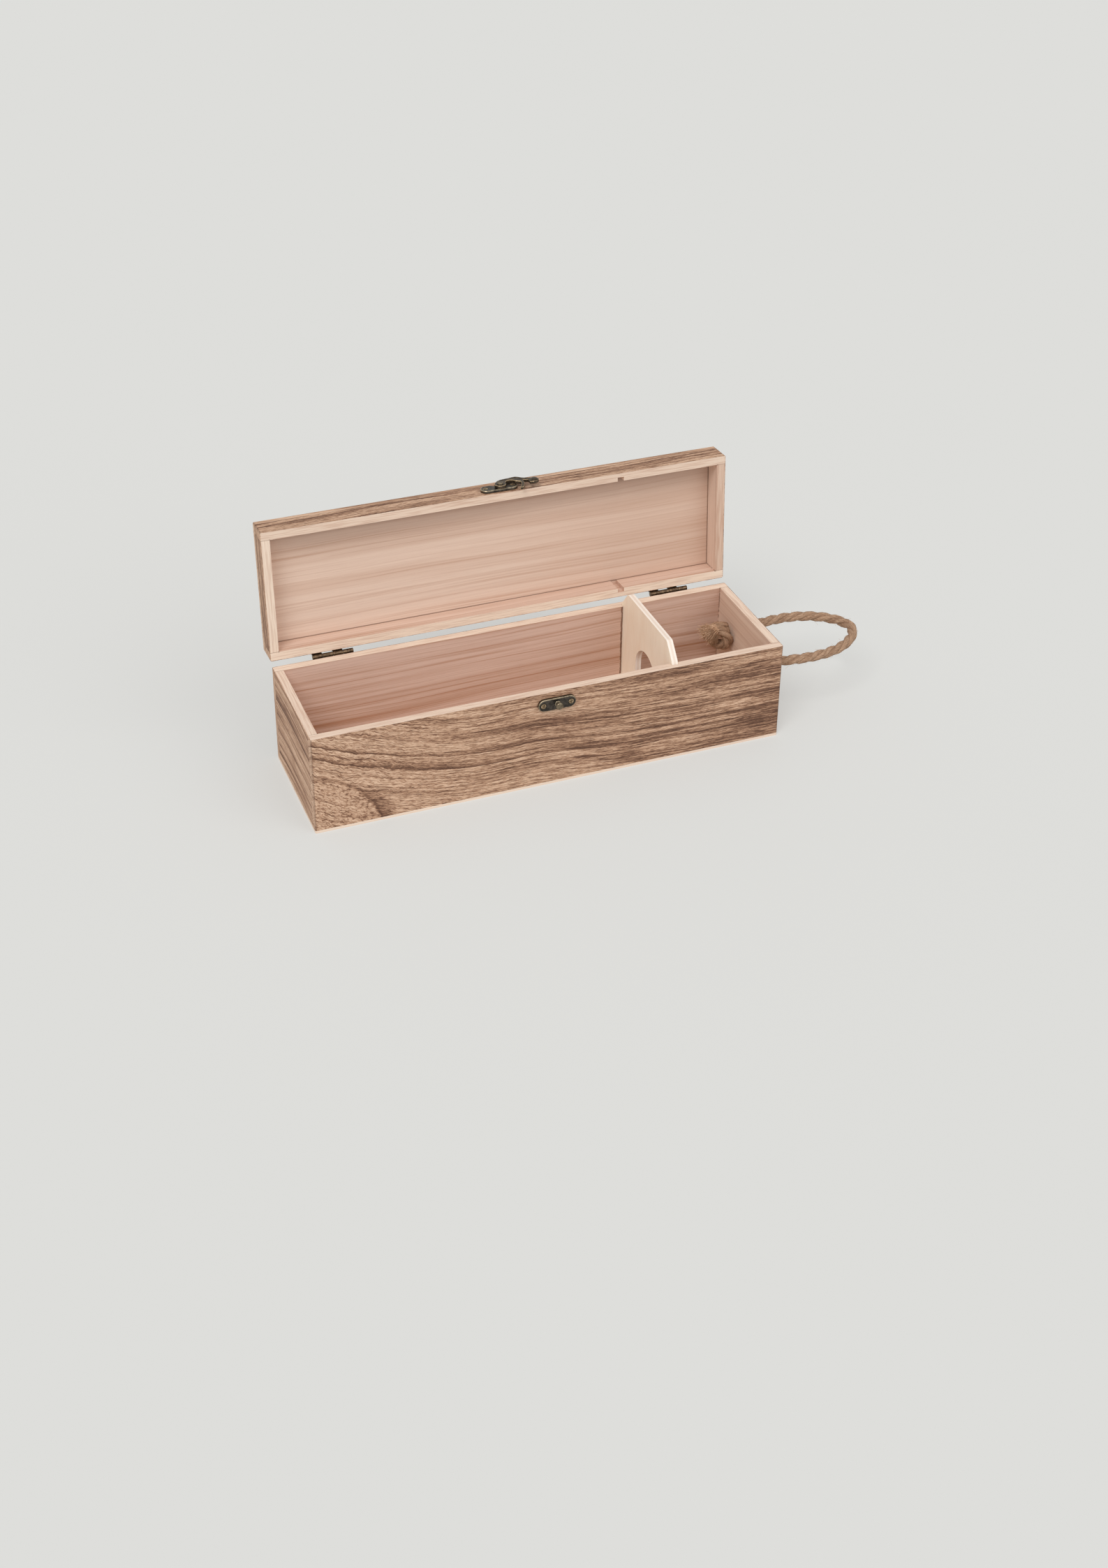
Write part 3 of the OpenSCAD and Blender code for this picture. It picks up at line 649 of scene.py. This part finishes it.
def store(mesh, name, values):
    """Keeps a number or a vector for each point on the mesh, for its finish or a recipe."""
    values = np.asarray(values, np.float32)
    kind, key = ("FLOAT", "value") if values.ndim == 1 else ("FLOAT_VECTOR", "vector")
    mesh.attributes.new(name, kind, "POINT").data.foreach_set(key, values.ravel())


# ---- the latch ----
PLATE_BEVEL = 0.6
NOTCH = [(5.2, 0), (4.5, 0.25), (4.1, 0.8), (3.6, 1.35), (2.9, 1.6)]


def plate(y, size, notch=()):
    """A form for a plate with round ends and a bevelled face. notch is a cut in the top edge, as
    points of half its width and its depth."""
    def outline(inset):
        run, r = (size[0] - size[1]) / 2, size[1] / 2 - inset
        cut = [(half + inset, y + r - deep) for half, deep in notch]
        return (arc(LATCH_X + run, y, r, -90, 90, 25)
                + [(LATCH_X + half, top) for half, top in cut]
                + [(LATCH_X - half, top) for half, top in cut[::-1]]
                + arc(LATCH_X - run, y, r, 90, 270, 25))

    def build(form):
        levels = [(0.0, 0.0), (0.0, PLATE_THICK - PLATE_BEVEL),
                  (0.35 * PLATE_BEVEL, PLATE_THICK - 0.3 * PLATE_BEVEL),
                  (PLATE_BEVEL, PLATE_THICK)]
        stack(form, [[(*at, z) for at in outline(inset)] for inset, z in levels])
    return build


def stud_form(form):
    """The catch stud: a thin neck and a flat head with rounded rims."""
    b = STUD_HEAD_BACK
    lathe(form, [(0, 0.4), (STUD_NECK, 0.4), (STUD_NECK, b + 0.2), (STUD_HEAD - 0.35, b + 0.2),
                 (STUD_HEAD, b + 0.5), (STUD_HEAD, b + STUD_HEAD_THICK - 0.45),
                 (STUD_HEAD - 0.45, b + STUD_HEAD_THICK), (0, b + STUD_HEAD_THICK)],
          (STUD_X, CATCH_Y))


def stud_collar(form):
    """The low ring round the stud's foot."""
    lathe(form, [(0, PLATE_THICK - 0.2), (2.15, PLATE_THICK - 0.2), (2.15, PLATE_THICK + 0.05),
                 (1.6, PLATE_THICK + 0.35), (0, PLATE_THICK + 0.35)], (STUD_X, CATCH_Y))


CLAW_IN, CLAW_OUT = 15.2, 17.2
TAB_AT = (1.6, -24.1)


def hook_form(form):
    """The hook hanging down from the rivet: hub, arm, bulge, tail and claw."""
    outer = (arc(0, 0, 4.2, 40, 250, 22)
             + [(0.6, -4.2), (2.4, -3.9)] + arc(1.9, -7.8, 3.8, 76, -70, 16)
             + [(3.0, -12.3), (2.6, -13.6), (2.0, -CLAW_IN + 0.2)]
             + [(-0.4, -CLAW_IN), (-2.8, -CLAW_IN + 0.25), (-5.0, -CLAW_IN + 0.8),
                (-7.3, -CLAW_IN + 1.85), (-7.4, -14.4), (-7.1, -15.6),
                (-5.0, -CLAW_OUT + 0.75), (-2.8, -CLAW_OUT + 0.25), (0.0, -CLAW_OUT),
                (2.8, -CLAW_OUT + 0.3), (4.6, -CLAW_OUT + 0.75)]
             + [(4.6, -18.0), (3.9, -19.6), (3.0, -21.2)]
             + arc(*TAB_AT, 3.7, 130, 350, 26)
             + [(6.0, -22.2), (7.0, -20.4), (7.6, -18.7), (8.2, -16.4), (9.4, -15.0),
                (10.4, -13.9), (10.95, -12.6), (11.05, -11.5), (10.7, -10.4), (9.8, -8.4),
                (8.8, -6.3), (8.1, -3.6), (7.4, -1.3), (6.2, 0.9), (4.9, 2.3)])
    prism(form, outer, 0.25, HOOK_THICK - 0.25)
    prism(form, [(x * 0.985, y * 0.993) for x, y in outer], 0.0, HOOK_THICK)


def tab_form(form):
    """The domed thumb tab at the hook's tail."""
    lathe(form, [(0, 0.1), (3.0, 0.2), (3.7, 0.9), (3.6, 1.8), (2.9, 2.6), (1.7, 3.1), (0, 3.3)],
          TAB_AT)


def rib_form(form):
    """The raised ridge along the arm's outer side."""
    line = [(3.4, 1.0), (5.8, -0.6), (7.0, -3.8), (7.9, -6.9), (9.0, -9.6), (9.7, -11.8),
            (9.0, -13.6), (7.4, -15.8), (6.4, -18.6), (4.6, -21.6)]
    half_wide = 0.7
    left, right = [], []
    for i, (x, y) in enumerate(line):
        a, b = line[max(i - 1, 0)], line[min(i + 1, len(line) - 1)]
        run = Vector((b[0] - a[0], b[1] - a[1])).normalized()
        left.append((x - run.y * half_wide, y + run.x * half_wide))
        right.append((x + run.y * half_wide, y - run.x * half_wide))
    prism(form, right + left[::-1], HOOK_THICK - 0.6, HOOK_THICK + 0.28)


def hub_ring(form):
    """The raised ring round the rivet."""
    lathe(form, [(0, HOOK_THICK - 0.5), (3.6, HOOK_THICK - 0.5), (3.6, HOOK_THICK + 0.1),
                 (2.7, HOOK_THICK + 0.1), (2.6, HOOK_THICK - 0.1), (0, HOOK_THICK - 0.1)])


def sunk_at(y):
    """Sinks a plate's face where its two screws go."""
    seat, rim, drop = 1.95, 2.15, 0.9

    def sink(at):
        near = min(math.hypot(at.x - x, at.y - y) for x in PLATE_SCREWS)
        down = 1.0 if near < seat else max(0.0, (rim - near) / 0.2)
        return Vector((at.x, at.y, at.z - (drop * down if at.z > PLATE_THICK - 0.5 else 0)))
    return sink


def bend_hook(at):
    """The claw dips to the plate, and the tail rises for a thumb to get behind."""
    x, y, z = at
    claw = max(0.0, min(1.0, (1.0 - x) / 7.0)) if y < -12.5 and x < 1.0 and y > -18.5 else 0.0
    tail = max(0.0, min(1.0, (-17.5 - y) / 7.0))
    return Vector((x, y, z - 0.55 * claw ** 1.5 + 1.1 * tail ** 1.4 + HOOK_BACK))


def rivet_form(form):
    """The rivet's shank and its low head."""
    b = RIVET_BACK
    lathe(form, [(0, 0.4), (1.45, 0.4), (1.45, b + 0.1), (RIVET_HEAD - 0.15, b),
                 (RIVET_HEAD, b + 0.3), (RIVET_HEAD - 0.2, b + 0.75),
                 (RIVET_HEAD - 0.7, b + RIVET_THICK), (0, b + RIVET_THICK - 0.05)])


for node, body, slot, finish, *how in (
        ("catch_plate", "box", "bronze", PLATE_BRONZE,
         [plate(CATCH_Y, CATCH_SIZE)], 0.2, 2, ON_FRONT, sunk_at(CATCH_Y)),
        ("catch_stud", "box", "worn_bronze", STUD_BRONZE, [stud_form, stud_collar], 0.12, 2,
         ON_FRONT),
        ("hook_plate", "lid", "bronze", PLATE_BRONZE,
         [plate(HOOK_PLATE_Y, HOOK_PLATE_SIZE, NOTCH)], 0.2, 2, ON_HOOK_PLATE,
         sunk_at(HOOK_PLATE_Y)),
        ("swing_hook", "hook", "bronze", DARK_BRONZE, [hook_form, tab_form, rib_form, hub_ring],
         0.17, 8, ON_RIVET, bend_hook),
        ("hook_rivet", "lid", "worn_bronze", STUD_BRONZE, [rivet_form], 0.12, 2, AT_RIVET)):
    settle(cast(node + "_casting", *how), body, finish, [node])


# ---- screws, by a node tree ----
class Recipe(Tree):
    """A geometry node tree with named numbers, a seed and a finish to set."""

    def __init__(self, name, *numbers):
        super().__init__(bpy.data.node_groups.new(name, "GeometryNodeTree"))
        face = self.nodes.interface
        kinds = {"Geometry": "Geometry", **dict.fromkeys(numbers, "Float"), "Seed": "Int",
                 "Finish": "Material"}
        self.keys = {label: face.new_socket(label, socket_type="NodeSocket" + kind).identifier
                     for label, kind in kinds.items()}
        face.new_socket("Geometry", in_out="OUTPUT", socket_type="NodeSocketGeometry")
        start = self.nodes.nodes.new("NodeGroupInput")
        self.given = {socket.name: Socket(self, socket) for socket in start.outputs if socket.name}

    def chance(self, low, high):
        """A random number for each point."""
        return self.node("FunctionNodeRandomValue", {},
                         {2: low, 3: high, "Seed": self.given["Seed"]}, output=1)

    def scatter(self, points, instance, rotation, scale=(1, 1, 1)):
        """Ends the tree: an instance on every point, made real, with its material."""
        placed = self.node("GeometryNodeInstanceOnPoints", {}, {
            "Points": points, "Instance": instance, "Rotation": rotation, "Scale": scale})
        solid = self.node("GeometryNodeRealizeInstances", {}, {0: placed})
        made = self.node("GeometryNodeSetMaterial", {}, {0: solid, 2: self.given["Finish"]})
        self.node("NodeGroupOutput", {}, {0: made})

    def make(self, name, mesh, values):
        """A piece grown from a mesh with the recipe's named inputs set."""
        piece = make_object(name, mesh)
        modifier = piece.modifiers.new("recipe", "NODES")
        modifier.node_group = self.nodes
        for label, value in values.items():
            modifier[self.keys[label]] = value
        return baked(piece)


def screw_recipe():
    """A cross-head countersunk screw at every point, its head's face at the point, turned by
    a random angle."""
    recipe = Recipe("screws", "Head radius", "Length")
    r, long = recipe.given["Head radius"], recipe.given["Length"]

    def moved(mesh, z=0.0, turn=0.0):
        return recipe.node("GeometryNodeTransform", {}, {
            "Geometry": mesh, "Translation": recipe.vector(z=z), "Rotation": (0, 0, turn)})

    def cone(top, bottom, depth, sides):
        return recipe.node("GeometryNodeMeshCone", {}, {
            "Vertices": sides, "Radius Top": top, "Radius Bottom": bottom, "Depth": depth})

    head = moved(cone(r, r * 0.55, r * 0.48, 32), z=r * -0.48)
    arm = recipe.node("GeometryNodeMeshCube", {}, {
        "Size": recipe.vector(r * 1.45, r * 0.3, r * 0.7)})
    pit = moved(cone(r * 0.5, 0.0, r * 0.7, 4), z=r * -0.52, turn=math.pi / 4)
    cut = recipe.node("GeometryNodeMeshBoolean", {"operation": "DIFFERENCE"}, {
        0: head, 1: [moved(arm), moved(arm, turn=math.pi / 2), pit]})
    shank = moved(cone(r * 0.52, r * 0.2, long - r * 0.4, 12), z=long * -1)
    screw = recipe.node("GeometryNodeJoinGeometry", {}, {0: [cut, shank]})
    recipe.scatter(recipe.given["Geometry"], screw, recipe.vector(z=recipe.chance(0.0, 1.5)))
    return recipe


SCREWS = screw_recipe()


LEAF_SCREWS = [h * HINGE_X + s * LEAF_SCREW_X for h in (-1, 1) for s in (-1, 1)]
for node, body, place, xs, y, face, seed in (
        ("catch_plate", "box", ON_FRONT, PLATE_SCREWS, CATCH_Y, PLATE_THICK - 0.05, 4),
        ("hook_plate", "lid", ON_HOOK_PLATE, PLATE_SCREWS, HOOK_PLATE_Y, PLATE_THICK - 0.05, 9),
        ("hinge_body", "box", ON_BACK, LEAF_SCREWS, LEAF_SCREW_Z, LEAF_THICK - 0.03, 2),
        ("hinge_lid", "lid", ON_LID @ ON_BACK, LEAF_SCREWS, -LEAF_SCREW_Z, LEAF_THICK - 0.03, 7)):
    points = bpy.data.meshes.new(node + "_cross_screws")
    points.from_pydata([(x, y, face) for x in xs], [], [])
    piece = SCREWS.make(points.name, points, {"Head radius": SCREW_HEAD, "Length": SCREW_LONG,
                                              "Seed": seed, "Finish": SCREW_BRASS})
    piece.data.transform(SCALE @ place)
    settle(piece, body, None, [node + "_screws"])


# ---- rope ----
def jute(name, dark, mid, light):
    """Twisted jute: fibres along each strand, with painted shade where the strands meet."""
    finish = Finish(name)
    u, v, _ = finish.split(finish.node("ShaderNodeUVMap", {"uv_map": "strand"}))
    groove = finish.mark("groove")
    lean = v - u * 0.55
    fibre = finish.noise(u * 0.22, lean * 3.2, rough=0.6)
    fine = finish.noise(u * 0.6, lean * 7.0, 3.0, rough=0.6)
    cloud = finish.noise(u * 0.06, v * 0.3, 7.0)
    share = fibre.ease(0.3, 0.7) * 0.5 + fine.ease(0.3, 0.7) * 0.3 + cloud.ease(0.3, 0.7) * 0.2
    # painted shade where the strands meet
    share = share * (1 - groove * 0.75)
    colour = finish.ramp(share, (0.0, dark), (0.45, mid), (1.0, light))
    return finish.surface(colour, 0.9, fibre * 0.7 + fine * 0.4, 0.28,
                          **{"Specular IOR Level": 0.2})


JUTE = jute("jute rope", srgb(88, 64, 49), srgb(162, 129, 104), srgb(216, 184, 155))
# a lighter copy of the rope's jute: painted light, against the shade that falls inside the frayed
# brush
LIT_FIBRE = jute("jute fibres", srgb(150, 116, 90), srgb(206, 170, 138), srgb(242, 214, 184))


STRAND_APART = 31.0  # in the fibre coordinates: no two strands look alike


def smooth_line(points, spacing):
    """A smooth line through the points, resampled to even spacing, and how far along it each
    new point is."""
    points = [Vector(p) for p in points]
    padded = [points[0] * 2 - points[1]] + points + [points[-1] * 2 - points[-2]]
    fine = []
    for i in range(1, len(padded) - 2):
        a, b, c, d = padded[i - 1:i + 3]
        for t in np.linspace(0, 1, 24, endpoint=False):
            fine.append(0.5 * ((2 * b) + (c - a) * t + (2 * a - 5 * b + 4 * c - d) * t ** 2
                               + (3 * b - a - 3 * c + d) * t ** 3))
    fine.append(padded[-2])
    fine = np.array(fine)
    along = np.concatenate([[0], np.cumsum(np.linalg.norm(np.diff(fine, axis=0), axis=1))])
    count = max(4, int(along[-1] / spacing) + 1)
    steps = np.linspace(0, along[-1], count)
    return np.stack([np.interp(steps, along, fine[:, k]) for k in range(3)], 1), steps


def frames(line):
    """Tangent and two sideways directions at each point, turning as little as possible."""
    tangent = np.gradient(line, axis=0)
    tangent /= np.linalg.norm(tangent, axis=1, keepdims=True)
    side = np.cross(tangent[0], (0, 0, 1) if abs(tangent[0][2]) < 0.9 else (1, 0, 0))
    sides = []
    for t in tangent:
        side = side - t * side.dot(t)
        side = side / np.linalg.norm(side)
        sides.append(side)
    sides = np.array(sides)
    return tangent, sides, np.cross(tangent, sides)


def yarn_mesh(name, verts, faces, uvs):
    """A mesh of points in millimetres, with its fibre coordinates."""
    mesh = bpy.data.meshes.new(name)
    mesh.from_pydata([tuple(v * MM) for v in np.array(verts)], [], faces)
    mesh.uv_layers.new(name="strand").data.foreach_set("uv", np.array(uvs, np.float32).ravel())
    return mesh


def rope_mesh(name, points, radius, pitch=31.0, start=0.0, flare=None):
    """Three twisted strands along a line, with a mark for the painted shade in the grooves between
    them. flare spreads them, by the distance along the line."""
    strands, sides = 3, 18
    line, steps = smooth_line(points, 1.1)
    _, one, two = frames(line)
    offset, thick = radius * 0.47, radius * 0.55
    across = 2 * math.pi * thick / sides
    spread = np.ones(len(steps)) if flare is None else flare(steps, steps[-1])
    verts, faces, uvs, groove, along = [], [], [], [], []
    for k in range(strands):
        angle = start - 2 * math.pi * (steps / pitch + k / strands)
        outward = one * np.cos(angle)[:, None] + two * np.sin(angle)[:, None]
        centre = line + outward * (offset * spread)[:, None]
        heading, _, _ = frames(centre)
        first = outward - heading * (outward * heading).sum(1)[:, None]
        first /= np.linalg.norm(first, axis=1, keepdims=True)
        second = np.cross(heading, first)
        base = len(verts)
        for i in range(len(steps)):
            taper = min(1.0, 0.6 + i * 0.2, 0.6 + (len(steps) - 1 - i) * 0.2)
            for j in range(sides):
                a = 2 * math.pi * j / sides
                lump = 1 + 0.05 * math.cos(5 * a + steps[i] * 0.55) + 0.03 * math.cos(
                    9 * a - steps[i] * 0.8 + k)
                reach = thick * lump * taper
                verts.append(centre[i] + reach * (math.cos(a) * first[i]
                                                  + math.sin(a) * second[i]))
                inward = abs(a - math.pi)
                groove.append(min(1.0, 1.6 - inward) if inward < 1.5 else 0.0)
                along.append(heading[i])
        for i in range(len(steps) - 1):
            for j in range(sides):
                m = (j + 1) % sides
                faces.append((base + i * sides + j, base + i * sides + m,
                              base + (i + 1) * sides + m, base + (i + 1) * sides + j))
                left, right = (n * across + k * STRAND_APART for n in (j, j + 1))
                uvs += [(steps[i], left), (steps[i], right), (steps[i + 1], right),
                        (steps[i + 1], left)]
        for end, ring in ((0, range(sides - 1, -1, -1)), (len(steps) - 1, range(sides))):
            faces.append(tuple(base + end * sides + j for j in ring))
            uvs += [(steps[end] + 0.3 * j, k * STRAND_APART) for j in ring]
    mesh = yarn_mesh(name, verts, faces, uvs)
    store(mesh, "groove", groove)
    store(mesh, "along", along)
    for polygon in mesh.polygons:
        polygon.use_smooth = len(polygon.vertices) == 4
    return mesh, line


def fibre_recipe():
    """Loose fibres that leave a rope's surface at a low angle and curl."""
    recipe = Recipe("stray fibres", "Count per square metre", "Fibre length", "Fibre radius",
                    "Lift")
    given = recipe.given
    points = recipe.node("GeometryNodeDistributePointsOnFaces", {}, {
        "Mesh": given["Geometry"], "Density": given["Count per square metre"],
        "Seed": given["Seed"]})
    normal = Socket(recipe, points.output.node.outputs["Normal"])
    along = recipe.node("GeometryNodeInputNamedAttribute", {"data_type": "FLOAT_VECTOR"},
                        {"Name": "along"})
    turn = recipe.node("FunctionNodeAxesToRotation", {"primary_axis": "X", "secondary_axis": "Z"},
                       {0: along, 1: normal})
    jitter = recipe.node("FunctionNodeRandomValue", {"data_type": "FLOAT_VECTOR"}, {
        0: (-0.5, -0.55, -0.7), 1: (0.5, 0.0, 0.7), "Seed": given["Seed"]})
    lean = recipe.node("FunctionNodeEulerToRotation", {}, {0: jitter})
    turned = recipe.node("FunctionNodeRotateRotation", {"rotation_space": "LOCAL"},
                         {0: turn, 1: lean})
    long, lift = given["Fibre length"], given["Lift"]
    curl = recipe.node("GeometryNodeCurveQuadraticBezier", {}, {
        "Resolution": 6, "Start": (0, 0, 0), "Middle": recipe.vector(long * 0.5, z=lift * 0.2),
        "End": recipe.vector(long, z=lift)})
    ring = recipe.node("GeometryNodeCurvePrimitiveCircle", {}, {
        "Resolution": 4, "Radius": given["Fibre radius"]})
    hair = recipe.node("GeometryNodeCurveToMesh", {}, {0: curl, 1: ring, "Fill Caps": True})
    recipe.scatter(points, hair, turned, recipe.chance(0.35, 1.0))
    return recipe


FIBRES = fibre_recipe()


def stray_fibres(name, rope, count, length, lift, seed):
    """About count loose fibres on a rope's mesh."""
    area = sum(p.area for p in rope.polygons)
    return FIBRES.make(name, rope.copy(), {
        "Count per square metre": count / area, "Fibre length": length * MM,
        "Fibre radius": 0.07 * MM, "Lift": lift * MM, "Seed": seed, "Finish": LIT_FIBRE})


HALF_LOOP = [(4.1, 26), (12, 26.7), (20, 27.8), (30, 28.9), (40, 29), (49.5, 27.9),
             (58.5, 25.5), (66.5, 21.7), (73.3, 16.8), (78.6, 11), (81.9, 4.8)]
loop = ([(-2.5, 26)] + HALF_LOOP + [(82.9, 0)] + [(x, -y) for x, y in reversed(HALF_LOOP)]
        + [(-2.5, -26)])
handle_mesh, handle_line = rope_mesh(
    "rope_handle_strands", [(RIGHT + x, y, ROPE_Z) for x, y in loop], ROPE_R * 0.92, start=0.6)
handle = make_object("rope_handle_strands", handle_mesh)
handle_fibres = stray_fibres("rope_handle_stray_fibres", handle_mesh, 260, 4.5, 0.8, 3)
for piece, finish in ((handle, JUTE), (handle_fibres, LIT_FIBRE)):
    settle(piece, None, finish)
    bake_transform(piece)
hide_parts("rope_handle")


def knot(name, side, seed, node):
    """An overhand knot inside the end board: rope from the hole, one turn round, frayed end.
    Points are from the hole's centre, mirrored for the front knot by side."""
    turn = []
    for degrees in range(0, 361, 30):
        at, share = math.radians(degrees), degrees / 360
        turn.append((163.4 - 6.0 * share - 5.2 * math.sin(at),
                     0.5 - 5.8 * share + 5.2 * math.sin(at),
                     -2.2 + 1.3 * share + 7.1 * math.cos(at)))
    path = ([(174.5, 0, 0), (171, 0, 0), (167.8, 0.2, 1.6)] + turn
            + [(154.5, -4.5, 5.5), (152.4, -4.8, 4.0)])
    path = [(x, side * (y + HOLE_Y), z + ROPE_Z) for x, y, z in path]
    mesh, line = rope_mesh(name, path, ROPE_R, 30.0, start=seed,
                           flare=lambda s, end: 1 + np.clip((s - end + 6) / 6, 0, 1) * 0.8)
    piece = make_object(name, mesh)
    settle(piece, "box", JUTE, [node])
    strays = stray_fibres(name + "_stray_fibres", mesh, 240, 4.0, 0.9, seed)
    settle(strays, "box", LIT_FIBRE)
    brush = frayed_end(name + "_frayed_end", line[-1], line[-1] - line[-6], seed)
    settle(brush, "box", LIT_FIBRE)


def frayed_end(name, at, heading, seed):
    """The cut end of the rope: a brush of loose yarn in clumps, each yarn a bent three-sided
    spike that starts inside the rope."""
    clump_count, yarns, brush_r, inside = 28, 2200, 3.9, 4.5
    stations = (0, 0.35, 0.7, 1.0)
    rng = np.random.default_rng(seed)
    heading = heading / np.linalg.norm(heading)
    one = np.cross(heading, (0, 1, 0))
    one /= np.linalg.norm(one)
    two = np.cross(heading, one)
    verts, faces, uvs = [], [], []
    clumps = [(rng.uniform(0, 2 * math.pi), math.sqrt(rng.uniform(0, 1)) * brush_r,
               rng.uniform(0.5, 4.5), rng.normal(0, 1.3, 3)) for _ in range(clump_count)]
    for number in range(yarns):
        a, r, reach, bend = clumps[number % clump_count]
        out = (one * math.cos(a) + two * math.sin(a)) * r + rng.normal(0, 0.7, 3)
        long = reach * rng.uniform(0.6, 1.15)
        splay = out * rng.uniform(0.5, 1.3) + bend + rng.normal(0, 0.5, 3)
        path = [at + out - heading * inside + heading * (inside + long) * t + splay * t * t
                for t in stations]
        thick = rng.uniform(0.13, 0.3)
        base = len(verts)
        for k, p in enumerate(path):
            wide = thick * (1 - 0.5 * k / 3)
            for j in range(3):
                b = 2 * math.pi * j / 3
                verts.append(p + wide * (one * math.cos(b) + two * math.sin(b)))
        for i in range(3):
            here, ahead = (a * 9 + i, long * 3), (a * 9 + i + 1, long * 3)
            for j in range(3):
                m = (j + 1) % 3
                faces.append((base + i * 3 + j, base + i * 3 + m, base + i * 3 + 3 + m,
                              base + i * 3 + 3 + j))
                uvs += [here, here, ahead, ahead]
        faces += [(base + 9, base + 10, base + 11), (base + 2, base + 1, base)]
        uvs += [(a * 9 + 4, long * 3)] * 3 + [(a * 9, long * 3)] * 3
    return make_object(name, yarn_mesh(name, verts, faces, uvs))


knot("rear_knot_strands", 1, 5, "rear_rope_knot")
knot("front_knot_strands", -1, 12, "front_rope_knot")


# ---- finishes of the part's own solids ----
for node, material in BOARDS.items():
    dress(cad[node], material)
dress(cad["bottom_panel"], raw_board())
dress(cad["neck_divider"], plywood())
for side in ("left", "right"):
    dress(cad[side + "_hinge_body_leaf"], HINGE_BRONZE)
    dress(cad[side + "_hinge_lid_leaf"], HINGE_BRONZE)
    dress(cad[side + "_hinge_pin"], SCREW_BRASS)


# ---- the studio ----
FLOOR = 8


def studio():
    """A pale floor that glows a little, a pale room, and two soft lamps."""
    pale = srgb(222, 222, 219)
    mesh = bpy.data.meshes.new("floor")
    mesh.from_pydata([(-FLOOR, -FLOOR, 0), (FLOOR, -FLOOR, 0), (FLOOR, FLOOR, 0),
                      (-FLOOR, FLOOR, 0)], [], [(0, 1, 2, 3)])
    floor = make_object("floor", mesh)
    finish = Finish("floor paper")
    x, y, _ = finish.place()
    cloud = finish.noise(x * 0.002, y * 0.002)
    shade = finish.mix(cloud * 0.04, pale, srgb(200, 200, 198))
    dress(floor, finish.surface(
        finish.mix(0.5, shade, (0, 0, 0, 1)), 0.95,
        **{"Specular IOR Level": 0.0, "Emission Color": shade, "Emission Strength": 0.5}))

    world = bpy.data.worlds.new("studio")
    bpy.context.scene.world = world
    world.use_nodes = True
    air = Tree(world.node_tree)
    world.node_tree.nodes.clear()
    path = air.node("ShaderNodeLightPath").output.node
    straight, glossy, through = (Socket(air, path.outputs[f"Is {kind} Ray"])
                                 for kind in ("Camera", "Glossy", "Transmission"))
    seen = straight.larger(glossy).larger(through)
    soft = air.node("ShaderNodeBackground", {}, {"Color": (1, 1, 1, 1), "Strength": 0.54})
    back = air.node("ShaderNodeBackground", {}, {"Color": pale, "Strength": 1.0})
    mixed = air.node("ShaderNodeMixShader", {}, {0: seen, 1: soft, 2: back})
    air.node("ShaderNodeOutputWorld", {}, {0: mixed})

    def lamp(name, towards, softness, power):
        """A lamp that far off, softness degrees wide, in the direction towards."""
        data = bpy.data.lights.new(name, "SUN")
        data.angle, data.energy = math.radians(softness), power
        light = make_object(name, data)
        light.rotation_euler = (-Vector(towards)).to_track_quat("-Z", "Y").to_euler()

    lamp("left softbox", (-0.58, -0.6, 1.05), 28, 1.3)
    lamp("right softbox", (0.5, -0.8, 0.75), 50, 0.72)
    bpy.context.scene.view_settings.view_transform = "Standard"


studio()
